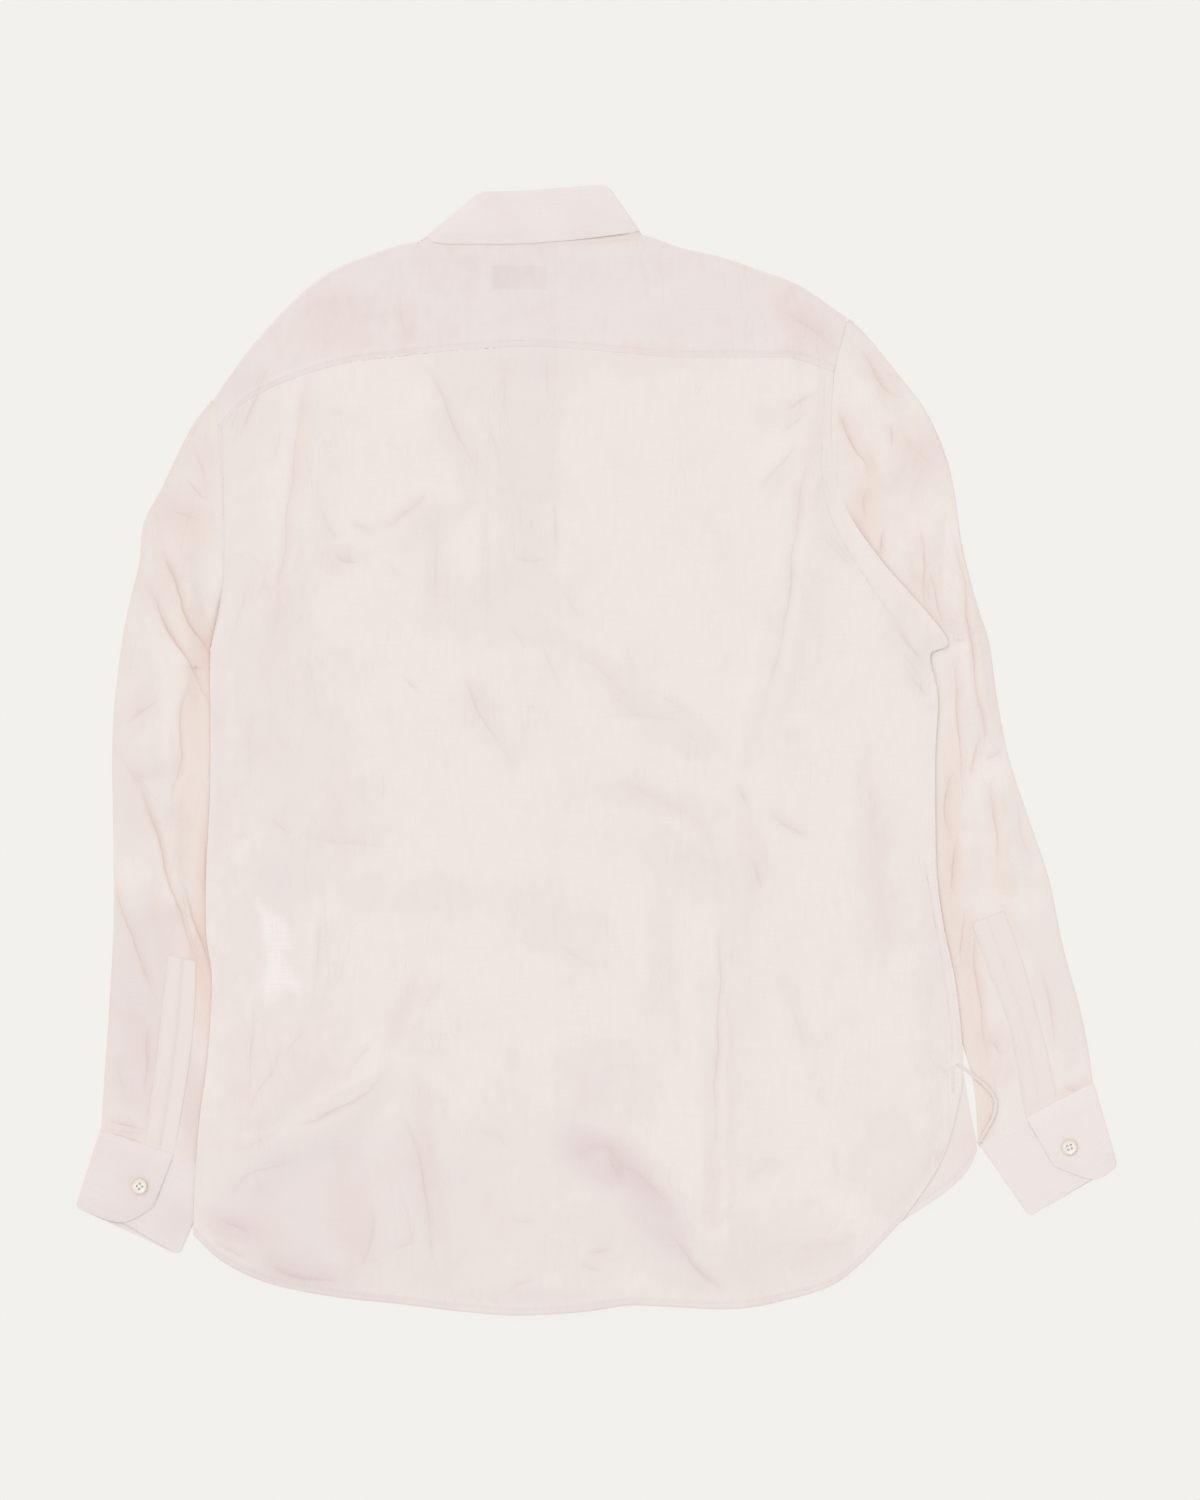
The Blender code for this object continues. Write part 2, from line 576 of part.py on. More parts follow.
def make_yoke():
    """The yoke: on the back to the neck, turned over both shoulders on to the fronts."""
    columns = spread(COLUMNS, CELL)
    first = int(np.argmin(np.abs(columns[:, 0] - COLUMNS[NECK[0]].shoulder_x)))
    last = int(np.argmin(np.abs(columns[:, 0] - COLUMNS[NECK[1]].shoulder_x)))
    shoulder = columns[:, :2]
    seam = columns[:, 2:4] + np.array([0.0, GAP])
    down = seam - shoulder
    down = down / np.linalg.norm(down, axis=1)[:, None]
    slope = np.gradient(shoulder, axis=0)
    square = np.column_stack([slope[:, 1], -slope[:, 0]]) / np.linalg.norm(slope, axis=1)[:, None]
    from_neck = np.maximum(shoulder[first, 0] - shoulder[:, 0], shoulder[:, 0] - shoulder[last, 0])
    turned = np.clip(from_neck / 70.0, 0.0, 1.0)[:, None]
    inward = square * turned + down * (1 - turned)
    inward = inward / np.linalg.norm(inward, axis=1)[:, None]
    neck_side = np.zeros(len(columns))
    neck_side[first + 1:last] = 1.0
    lip = yoke_lip_heights(shoulder[:, 0])
    top = back_rest(shoulder[:, 0], shoulder[:, 1]) + CLOTH / 2
    radius = np.maximum((top - lip) / 2, CLOTH / 2 + 0.1)
    rows = []
    for share in (1.0, 0.5):
        plan = shoulder + inward * (YOKE_REACH * share)
        rows.append(np.column_stack([plan, lip]))
    for step in range(TURN_STEPS):
        angle = math.pi * step / TURN_STEPS
        reach = radius + CLOTH / 2 - radius * math.sin(angle)
        plan = shoulder + inward * reach[:, None]
        rows.append(np.column_stack([plan, (top + lip) / 2 - (top - lip) / 2 * math.cos(angle)]))
    for step in range(YOKE_DEPTH_STEPS + 1):
        start = shoulder + inward * (radius + CLOTH / 2)[:, None]
        start = np.where(neck_side[:, None] > 0.5, shoulder, start)
        plan = start + (seam - start) * step / YOKE_DEPTH_STEPS
        height = back_rest(plan[:, 0], plan[:, 1]) + CLOTH / 2
        if step == 0:
            height = top
        rows.append(np.column_stack([plan, height]))
    folded = 2 + TURN_STEPS
    keep = []
    for row in range(len(rows) - 1):
        keep.append([row >= folded or not first <= column < last for column in range(len(columns) - 1)])
    sheet("yoke", np.array(rows)[:, ::-1], SILK, [row[::-1] for row in keep])


def yoke_lip_heights(x):
    """Middle of the yoke's turned-under wall: on the surface at the armholes, raised at the neck."""
    left = PLACKET_REST * ease((x + 250.0) / 90.0)
    right = OVERLAP_REST * ease((160.0 - x) / 90.0)
    return CLOTH / 2 + np.where(x < -46.0, left, right)


def front_grid(outer, edges, inner_shift, placket_first):
    """A front's flat grid, from its outer edge and its top and hem; its inner side follows the placket."""
    outer = spread(outer, FRONT_CELL)
    inner_edge = edges[0] if placket_first else edges[-1]
    share = shares(outer)
    inner_y = inner_edge.top_y + (inner_edge.hem_y - inner_edge.top_y) * share
    inner = np.column_stack([placket_middle(inner_y) + inner_shift, inner_y])
    ends = spread(edges, FRONT_CELL)
    corner = (inner[0, 0], inner[0, 1], inner[-1, 0], inner[-1, 1])
    if placket_first:
        ends[0] = corner
        return patch(np.hstack([inner, outer]), ends)
    ends[-1] = corner
    return patch(np.hstack([outer, inner]), ends)


def make_fronts():
    """The two fronts; the right one passes over the placket."""
    side = [(level.left_x + SEAM_STEP, level.left_y) for level in LEVELS[1:-1]]
    corner = LEFT_FRONT[0]
    outer = [(corner.top_x, corner.top_y), *side, (corner.hem_x, corner.hem_y)]
    grid = front_grid(outer, LEFT_FRONT, -PLACKET_WIDTH / 2 - SEAM_STEP / 2, False)
    rest = front_rest(grid[:, :, 0], grid[:, :, 1], PLACKET_REST, PLACKET_WIDTH / 2 + PLACKET_CLEARANCE)
    raised_wall("front_left", grid, rest, SILK)

    side = [(level.right_x - SEAM_STEP, level.right_y) for level in LEVELS[1:11]]
    corner = RIGHT_FRONT[-1]
    outer = [(corner.top_x, corner.top_y), *side] + [(point.x, point.y) for point in RIGHT_TAIL]
    grid = front_grid(outer, RIGHT_FRONT, -FRONT_OVERLAP, True)
    rest = front_rest(grid[:, :, 0], grid[:, :, 1], OVERLAP_REST, PLACKET_WIDTH / 2 + OVERLAP_CLEARANCE)
    raised_wall("front_right", grid, rest, SILK)


def make_placket():
    """The buttonhole band down the middle of the left front."""
    heights = np.linspace(PLACKET_LINE[0].y - PLACKET_BELOW_NECK, PLACKET_LINE[-1].y, PLACKET_ROWS)
    offsets = np.array([-0.5, 0.0, 0.5]) * PLACKET_WIDTH
    x = placket_middle(heights)[:, None] + offsets[None, :]
    y = np.repeat(heights[:, None], len(offsets), axis=1)
    raised_wall("front_placket", np.dstack([x, y]), np.full(x.shape, PLACKET_REST), SILK)


def make_sleeve(name, rings, underarm, folds):
    """A sleeve from its armhole to its cuff, as a flattened tube."""
    lines = spread(rings, SLEEVE_CELL)
    corner = np.array([rings[underarm].inner_x, rings[underarm].inner_y])
    closing = int(np.argmin(np.linalg.norm(lines[:, 2:] - corner, axis=1)))
    share = np.linspace(0.0, 1.0, SLEEVE_LINES)[None, :, None]
    grid = lines[:, None, :2] * (1 - share) + lines[:, None, 2:] * share
    upper = sleeve_rest(grid[:, :, 0], grid[:, :, 1], folds)
    flattened_tube(name, grid, upper, closing, SILK_WARM)


def make_strip(name, rows, rest, thickness=CLOTH):
    """A narrow strip of cloth laid level between two edges."""
    line = spread(rows, CELL)
    middle = (line[:, :2] + line[:, 2:]) / 2
    grid = np.stack([line[:, :2], middle, line[:, 2:]], axis=1)
    raised_wall(name, grid, np.full(grid.shape[:2], rest), SILK, thickness)


def make_collar():
    """The stand and the fall, both folded flat at the sides of the neck."""
    bottom = CLOTH / 2
    fall_top = BACK_REST + LAYER + CLOTH / 2
    wrapped_band("collar_leaf", [(LEAF_LEFT_WING, bottom), (LEAF_BACK, fall_top),
                                 (LEAF_RIGHT_WING, bottom)])
    stand_back = BACK_REST + CLOTH / 2
    wrapped_band("collar_stand", [(STAND_LEFT_FRONT, PLACKET_REST + CLOTH / 2),
                                  (STAND_BACK, stand_back),
                                  (STAND_RIGHT_FRONT, OVERLAP_REST + CLOTH / 2)])


def make_cuff(name, flap, under, tuck):
    """A cuff wrapped round: flap on top, under wall on the surface, its end tucked below the flap."""
    bottom = CLOTH / 2
    wrapped_band(name, [(flap, bottom + 2 * LAYER), (under, bottom), (tuck, bottom + LAYER)])


def make_button(name, place, rest):
    """A round four-hole shell button with a raised rim."""
    profile = [(BUTTON_RADIUS - 0.5, 0.0), (BUTTON_RADIUS, BUTTON_HEIGHT - 0.4),
               (BUTTON_RADIUS - 0.9, BUTTON_HEIGHT)]
    mesh = bpy.data.meshes.new(name)
    work = bmesh.new()
    loops = []
    for radius, height in profile:
        turn = [2 * math.pi * side / BUTTON_SIDES for side in range(BUTTON_SIDES)]
        loops.append([work.verts.new((place[0] * MM + radius * MM * math.cos(angle),
                                      place[1] * MM + radius * MM * math.sin(angle),
                                      (rest + height) * MM)) for angle in turn])
    for lower, upper in zip(loops, loops[1:]):
        for side in range(BUTTON_SIDES):
            after = (side + 1) % BUTTON_SIDES
            rim_face = work.faces.new((lower[side], lower[after], upper[after], upper[side]))
            rim_face.smooth = True
    work.faces.new(loops[0][::-1])
    work.faces.new(loops[-1])
    work.to_mesh(mesh)
    work.free()
    mesh.materials.append(plain(name + "_shell", SHELL, BUTTON_ROUGHNESS))
    made = bpy.data.objects.new(name, mesh)
    bpy.context.scene.collection.objects.link(made)
    for number in range(4):
        angle = math.pi / 4 + math.pi / 2 * number
        reach = HOLE_SPACING / 2 * math.sqrt(2.0)
        centre = (place[0] + reach * math.cos(angle), place[1] + reach * math.sin(angle))
        cutter = hole_cutter(name + "_hole_" + str(number), centre, rest)
        cut = made.modifiers.new("hole", "BOOLEAN")
        cut.operation = "DIFFERENCE"
        cut.object = cutter


def hole_cutter(name, centre, rest):
    """A hidden prism that cuts one thread hole."""
    mesh = bpy.data.meshes.new(name)
    work = bmesh.new()
    bmesh.ops.create_cone(work, cap_ends=True, segments=HOLE_SIDES, radius1=HOLE_RADIUS * MM,
                          radius2=HOLE_RADIUS * MM, depth=3 * BUTTON_HEIGHT * MM)
    work.to_mesh(mesh)
    work.free()
    cutter = bpy.data.objects.new(name, mesh)
    cutter.location = (centre[0] * MM, centre[1] * MM, (rest + BUTTON_HEIGHT / 2) * MM)
    cutter.hide_render = True
    cutter.display_type = "WIRE"
    bpy.context.scene.collection.objects.link(cutter)
    return cutter


def make_buttons():
    """Placket, neck and cuff buttons."""
    for number in range(BUTTON_COUNT):
        y = BUTTON_FIRST - BUTTON_PITCH * number
        make_button("front_button_" + str(number + 1), (float(placket_middle(y)), y), 0.0)
    make_button("neck_button", NECK_BUTTON, 0.0)
    on_flap = 2 * LAYER + LAYER
    make_button("cuff_button_left", LEFT_CUFF_BUTTON, on_flap)
    make_button("cuff_button_right", RIGHT_CUFF_BUTTON, on_flap)


def make_labels():
    """Blank tapes: the neck label under the yoke and the care label on the left front."""
    left, right, low, high = NECK_LABEL
    rows = [Strip(left, high, right, high), Strip(left, low, right, low)]
    make_strip("neck_label", rows, NECK_LABEL_REST, LABEL_WALL)
    line = np.array(CARE_LABEL)
    grid = np.stack([line[:, :2], line[:, 2:]], axis=1)
    near = front_rest(grid[:, :, 0], grid[:, :, 1], PLACKET_REST, PLACKET_WIDTH / 2 + PLACKET_CLEARANCE)
    lift = np.array([CARE_LIFT_OUTER, CLOTH + GAP])
    raised_wall("care_label", grid, near + lift, CARE, LABEL_WALL)


def clear_scene():
    """Remove whatever the file holds."""
    for made in list(bpy.data.objects):
        bpy.data.objects.remove(made, do_unlink=True)


def main():
    clear_scene()
    make_back()
    make_yoke()
    make_fronts()
    make_placket()
    make_sleeve("sleeve_left", LEFT_RINGS, LEFT_UNDERARM, LEFT_SLEEVE_FOLDS)
    make_sleeve("sleeve_right", RIGHT_RINGS, RIGHT_UNDERARM, RIGHT_SLEEVE_FOLDS)
    slit_rest = SLEEVE_HEIGHT + GAP
    make_strip("sleeve_placket_left", LEFT_SLIT, slit_rest)
    make_strip("sleeve_placket_right", RIGHT_SLIT, slit_rest)
    make_cuff("cuff_left", LEFT_FLAP, LEFT_UNDER, LEFT_TUCK)
    make_cuff("cuff_right", RIGHT_FLAP, RIGHT_UNDER, RIGHT_TUCK)
    make_collar()
    make_buttons()
    make_labels()


main()
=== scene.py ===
import math
from collections import namedtuple

import bpy
import numpy as np
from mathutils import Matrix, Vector, noise


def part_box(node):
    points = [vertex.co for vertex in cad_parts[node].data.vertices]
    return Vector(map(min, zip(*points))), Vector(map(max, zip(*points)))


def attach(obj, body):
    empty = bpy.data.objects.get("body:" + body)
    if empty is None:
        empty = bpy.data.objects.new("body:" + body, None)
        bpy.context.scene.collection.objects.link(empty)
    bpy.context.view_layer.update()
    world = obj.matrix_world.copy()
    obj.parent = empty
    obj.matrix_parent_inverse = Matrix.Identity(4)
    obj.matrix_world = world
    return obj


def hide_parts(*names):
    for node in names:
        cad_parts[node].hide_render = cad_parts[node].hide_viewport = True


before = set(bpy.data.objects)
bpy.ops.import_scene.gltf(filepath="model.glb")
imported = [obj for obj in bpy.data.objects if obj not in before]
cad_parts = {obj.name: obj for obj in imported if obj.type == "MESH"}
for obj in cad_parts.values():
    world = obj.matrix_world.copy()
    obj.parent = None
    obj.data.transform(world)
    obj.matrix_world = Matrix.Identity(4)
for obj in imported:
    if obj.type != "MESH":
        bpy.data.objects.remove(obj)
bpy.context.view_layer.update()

# Silk blouse laid flat with its back up. Sizes are millimetres until a mesh is made; the frame is
# the row's: X to the blouse's own right sleeve, Y to the collar, Z up from the floor.
MM = 0.001


def table(kind, *rows):
    """Rows of numbers as named tuples."""
    return [kind(*row) for row in rows]


# ---- layers, as in the part's source ------------------------------------------------------------
CLOTH = 1.2
GAP = 0.3
LAYER = CLOTH + GAP
PLACKET_REST = 2.0 + GAP
OVERLAP_REST = PLACKET_REST + LAYER
BACK_REST = OVERLAP_REST + LAYER + GAP
SLEEVE_HEIGHT = CLOTH + LAYER
SIDE_REST = SLEEVE_HEIGHT + GAP
YOKE_REACH = 24.0
LEFT_COVER = 76.0
RIGHT_COVER = 215.0
COVER_BLEND = 38.0

SILK_WALL = 0.45       # what the shells are thick
FINE = 2.1             # spacing of the points on the back and yoke
SLEEVE_FINE = 1.8      # the same along the sleeves
FRONT_STEP = 3.0       # the same on the fronts
BAND_STEP = 2.2        # the same along collar and cuffs
LINING = 4             # how many upper points the back has to one on its underside, each way
FAR = 9.0              # distance given to points that are on no crease's line
CREASE_WIDTH = 0.62    # what the creases' widths and heights are multiplied by
CREASE_HEIGHT = 0.55
NECK_MIDDLE = -46.0    # x of the middle between the collar's wings
SIDE_LEAD = 22.0       # how much higher than the fronts the back begins to lie over a sleeve
SLEEVE_FLOOR = 0.4     # height of the middle of a sleeve's lower wall

# ---- outlines, as in the part's source ----------------------------------------------------------
Column = namedtuple("Column", "shoulder_x shoulder_y seam_x seam_y hem_x hem_y")
COLUMNS = table(Column,
    (-276, 254, -272, 231, -290.5, -348),
    (-245, 296, -253, 252, -268, -368),
    (-200, 340, -218, 268.5, -233, -384),
    (-154, 360.5, -180, 280, -190, -393),
    (-127.5, 366.8, -140, 285, -145, -398),
    (-112, 364.2, -118, 287.5, -120, -401),
    (-88, 364.2, -95, 289.5, -95, -404),
    (-48, 364.2, -50, 292, -55, -406),
    (-12, 365.4, -12, 290, -10, -403.5),
    (22, 368.8, 22, 287, 20, -399),
    (34.5, 371.4, 33, 286, 38, -399),
    (60, 362.5, 62, 284, 62, -400.5),
    (89, 356, 90, 284, 95, -402),
    (118, 346, 115, 284, 130, -397),
    (147, 335, 143, 283, 175, -381),
    (181, 312, 171, 274, 221, -337))
NECK = (4, 10)

Level = namedtuple("Level", "left_x left_y right_x right_y")
LEVELS = table(Level,
    (-272, 231, 171, 274),
    (-270.5, 190, 169.5, 226),
    (-269.5, 152, 178, 180),
    (-270.5, 112, 203, 140),
    (-277.5, 74, 252, 82),
    (-278.3, 52, 240.5, 69),
    (-278, 22, 246, 38),
    (-278.5, -35, 244, -8),
    (-281, -86, 245, -84),
    (-281, -132, 250, -126),
    (-277, -165, 259, -170),
    (-280, -220, 264, -226),
    (-285.5, -262, 259, -262),
    (-289, -304, 247, -298),
    (-290.5, -348, 221, -337))

Centre = namedtuple("Centre", "y x")
PLACKET_LINE = table(Centre,
    (280, -49), (140, -49), (-28, -27), (-107, -12), (-273, -9), (-396, -6))
PLACKET_WIDTH = 32.0
PLACKET_FLAT = PLACKET_WIDTH / 2 + 4.0
FRONT_OVERLAP = 12.0
PLACKET_BELOW_NECK = 4.4
SEAM_STEP = 1.2

Edge = namedtuple("Edge", "top_x top_y hem_x hem_y")
LEFT_FRONT = table(Edge,
    (-272, 229.4, -289, -345),
    (-264.5, 234.2, -279, -353),
    (-255, 239, -268, -360),
    (-242.6, 257, -252, -367.5),
    (-225.6, 279.6, -228, -377),
    (-186.6, 319, -188, -386),
    (-155.8, 335.6, -163, -389),
    (-131.4, 342.2, -142, -391.5),
    (-113, 341, -118, -394),
    (-102.5, 313, -86, -396),
    (-83, 289.5, -54, -397.5),
    (-65.8, 276, -23, -396))
RIGHT_FRONT = table(Edge,
    (-61, 275, -18, -395),
    (-38, 275.2, 12, -391),
    (-8, 291, 50, -392),
    (9.5, 314.5, 88, -394),
    (21, 342, 122, -390),
    (33.8, 347, 150, -382),
    (57.6, 338, 176, -371),
    (83.2, 331.8, 202, -352),
    (109.2, 322.4, 222, -337.5),
    (135, 312.8, 245, -322.5),
    (152, 301.4, 259.5, -311),
    (166.8, 291, 269, -300),
    (172.6, 287.4, 274.5, -288))
# The right front's side below the vent: the cloth itself, and its rolled hem, which stands off it.
Spot = namedtuple("Spot", "x y")
RIGHT_TAIL = table(Spot,
    (263, -226), (264.6, -233), (266.6, -245), (269.6, -262), (273, -278.5), (274, -288))
HEM_LOOP = table(Spot,
    (259.5, -225.6), (264, -228), (272.8, -235.2), (280, -241.2), (285.6, -247.8), (287.6, -254.6),
    (285.6, -263.5), (280.8, -272.6), (275, -282.6))

Ring = namedtuple("Ring", "outer_x outer_y inner_x inner_y")
LEFT_RINGS = table(Ring,
    (-277.4, 253.2, -275.2, 251.5),
    (-282, 247, -275.4, 246),
    (-293.4, 231, -273, 229),
    (-313.6, 189, -271.3, 188),
    (-326.5, 164, -270.2, 154),
    (-329.5, 136, -271.3, 112),
    (-339, 96, -278.4, 73),
    (-345, 56, -270, 46),
    (-349, 5, -268.5, 0),
    (-348.5, -55, -269.5, -58),
    (-348, -120, -271, -125),
    (-351, -180, -269, -190),
    (-354, -225, -273, -246),
    (-357, -271, -276, -300))
LEFT_UNDERARM = 6
RIGHT_RINGS = table(Ring,
    (182.6, 311.4, 180.4, 309.6),
    (187.4, 307, 180.2, 304),
    (199, 294.5, 176, 290),
    (217, 272, 172.4, 268),
    (238, 244, 170.8, 238),
    (252, 212, 172, 206),
    (258.5, 184, 181, 171),
    (263, 150, 203, 133),
    (270, 120, 225, 106),
    (276, 100, 246, 84),
    (283, 78, 234.5, 60),
    (289, 36, 236, 24),
    (298, -8, 235, -16),
    (312, -50, 235, -58),
    (326, -92, 238, -106),
    (336, -140, 249, -166),
    (347, -180, 262, -206),
    (354, -212, 271.6, -240),
    (357.5, -237, 275, -281))
RIGHT_UNDERARM = 9

Strip = namedtuple("Strip", "left_x left_y right_x right_y")
LEFT_SLIT = table(Strip,
    (-308.3, -147, -288.6, -151.5), (-312, -178, -289.5, -184), (-316.5, -220, -292.7, -220),
    (-321, -253, -298.5, -256), (-325.5, -280.8, -303.8, -288.3))
RIGHT_SLIT = table(Strip,
    (270.4, -123.8, 293.4, -115.2), (284, -161, 306, -150), (297, -196, 317.5, -190),
    (304, -232, 325.5, -222), (308.6, -261.6, 331, -249.6))

Across = namedtuple("Across", "rim_x rim_y edge_x edge_y")
LEAF_LEFT_WING = table(Across,
    (-49.5, 307, -93, 273), (-71, 351, -112, 319), (-84.5, 402, -123.5, 369.8))
LEAF_BACK = table(Across,
    (-84.5, 402, -123.5, 369.8), (-60, 402.4, -98, 365.4), (-45, 403.2, -58, 365.4),
    (-22, 405, -18, 368.2), (-5, 406.4, 10, 371.4), (8.6, 406.4, 31.2, 374.2))
LEAF_RIGHT_WING = table(Across,
    (8.6, 406.4, 31.2, 374.2), (-18, 354, 20, 322), (-42.5, 307, 1, 275))
STAND_LEFT_FRONT = table(Across,
    (-40, 302, -52, 276.8), (-69.5, 347, -98, 316), (-83, 399.2, -119.5, 368.9))
STAND_BACK = table(Across,
    (-83, 399.2, -119.5, 368.9), (-60, 399.6, -98, 365.4), (-45, 400.4, -50, 365.4),
    (-22, 402.2, -15, 366.4), (-5, 403.4, 12, 369.4), (6.2, 403.4, 27.6, 372.4))
STAND_RIGHT_FRONT = table(Across,
    (6.2, 403.4, 27.6, 372.4), (-20, 350, 4.5, 317), (-52, 303, -42, 276.6))

LEFT_FLAP = table(Across,
    (-304.4, -290.6, -319.3, -328.6), (-321, -285, -342.4, -339.4),
    (-357.4, -272.6, -375.5, -328.8))
LEFT_UNDER = table(Across,
    (-357.4, -272.6, -375.5, -328.8), (-273.4, -301.8, -300.6, -363.4))
LEFT_TUCK = table(Across,
    (-273.4, -301.8, -300.6, -363.4), (-328, -283.6, -345, -337.4))
RIGHT_FLAP = table(Across,
    (309.4, -264.2, 329, -298.8), (327, -254.6, 358, -308.6), (358, -238.6, 375.5, -298.8))
RIGHT_UNDER = table(Across,
    (358, -238.6, 375.5, -298.8), (275.4, -282.8, 312, -335.5))
RIGHT_TUCK = table(Across,
    (275.4, -282.8, 312, -335.5), (333, -253, 360, -306.4))

CARE_LABEL = table(Strip,
    (-245, -112, -221, -125), (-241, -146, -217, -151), (-238, -178, -212, -174))
NECK_LABEL = (-76.5, -34.5, 331.0, 350.0)

Fold = namedtuple("Fold", "x0 y0 x1 y1 bend width height")
BACK_FOLDS = table(Fold,
    (-205, 275, -232, 85, 10, 17, 4.5),           # left shoulder drape
    (-125, 262, -86, 176, -8, 16, 3.6),           # left blade
    (-84, 185, -150, 150, -8, 15, 4.2),           # left blade turn
    (-78, 240, -82, 110, 4, 18, 3),               # blade edge
    (-100, 55, -62, -8, 3, 15, 3.2),              # centre drag
    (-5, 62, 90, -75, -14, 20, 3.8),              # centre arc
    (162, 245, 113, 0, 9, 17, 5),                 # right fan
    (160, 215, 112, 185, -6, 13, 2.6),            # right fan upper
    (95, -108, 98, -388, -6, 20, 5.5),            # right skirt
    (2, -275, 94, -390, -10, 17, 4.6),            # centre skirt
    (-146, -248, -112, -388, -10, 17, 3.8),       # left skirt long
    (-150, -228, -255, -290, 12, 17, 4.4),        # left hip sweep
    (-216, -198, -254, -276, 8, 16, 3.4),         # left hip rise
    (-193, -108, -205, -190, -3, 16, 3),          # left side drop
    (-105, -158, -134, -218, 5, 18, 3.2),         # skirt soft
    (196, -22, 205, -150, 5, 20, 3.4),            # right waist band
    (142, -360, 198, -345, 3, 16, 2.6))           # right hem
LEFT_SLEEVE_FOLDS = table(Fold,
    (-306, 150, -290, 25, 8, 14, 7),              # cap roll
    (-336, 52, -318, -20, -5, 13, 5),             # elbow ridge
    (-318, -20, -302, -125, 6, 13, 5),            # forearm
    (-334, -85, -326, -190, 4, 12, 3.6))          # forearm outer
RIGHT_SLEEVE_FOLDS = table(Fold,
    (190, 262, 212, 190, 6, 14, 6),               # cap roll
    (238, 170, 248, 55, -5, 14, 5),               # upper arm
    (262, 165, 276, 8, -6, 13, 6),                # elbow long
    (286, -8, 306, -120, -4, 13, 4.6),            # forearm
    (264, -60, 262, -110, 3, 11, 3.2))            # forearm inner

# ---- creases ------------------------------------------------------------------------------------
# Placed on a plan of 0.72 mm units counted right and down from its corner. Width and height
# are millimetres, a height below nought is a trough; lean makes one side steeper, the fourth number
# is how far the crease's own painted shade is seen in the cloth.
PLAN_UNIT = 0.72
PHOTO_HEIGHT = 1500
PLAN_MIDDLE_U = 596.5
PLAN_MIDDLE_V = 751.0
Crease = namedtuple("Crease", "width height lean tone line")


def crease_table(*rows):
    """Creases from rows of width, height, lean and painted shade, followed by the points of the
    line.
    """
    return [Crease(*row[:4], list(zip(row[4::2], row[5::2]))) for row in rows]


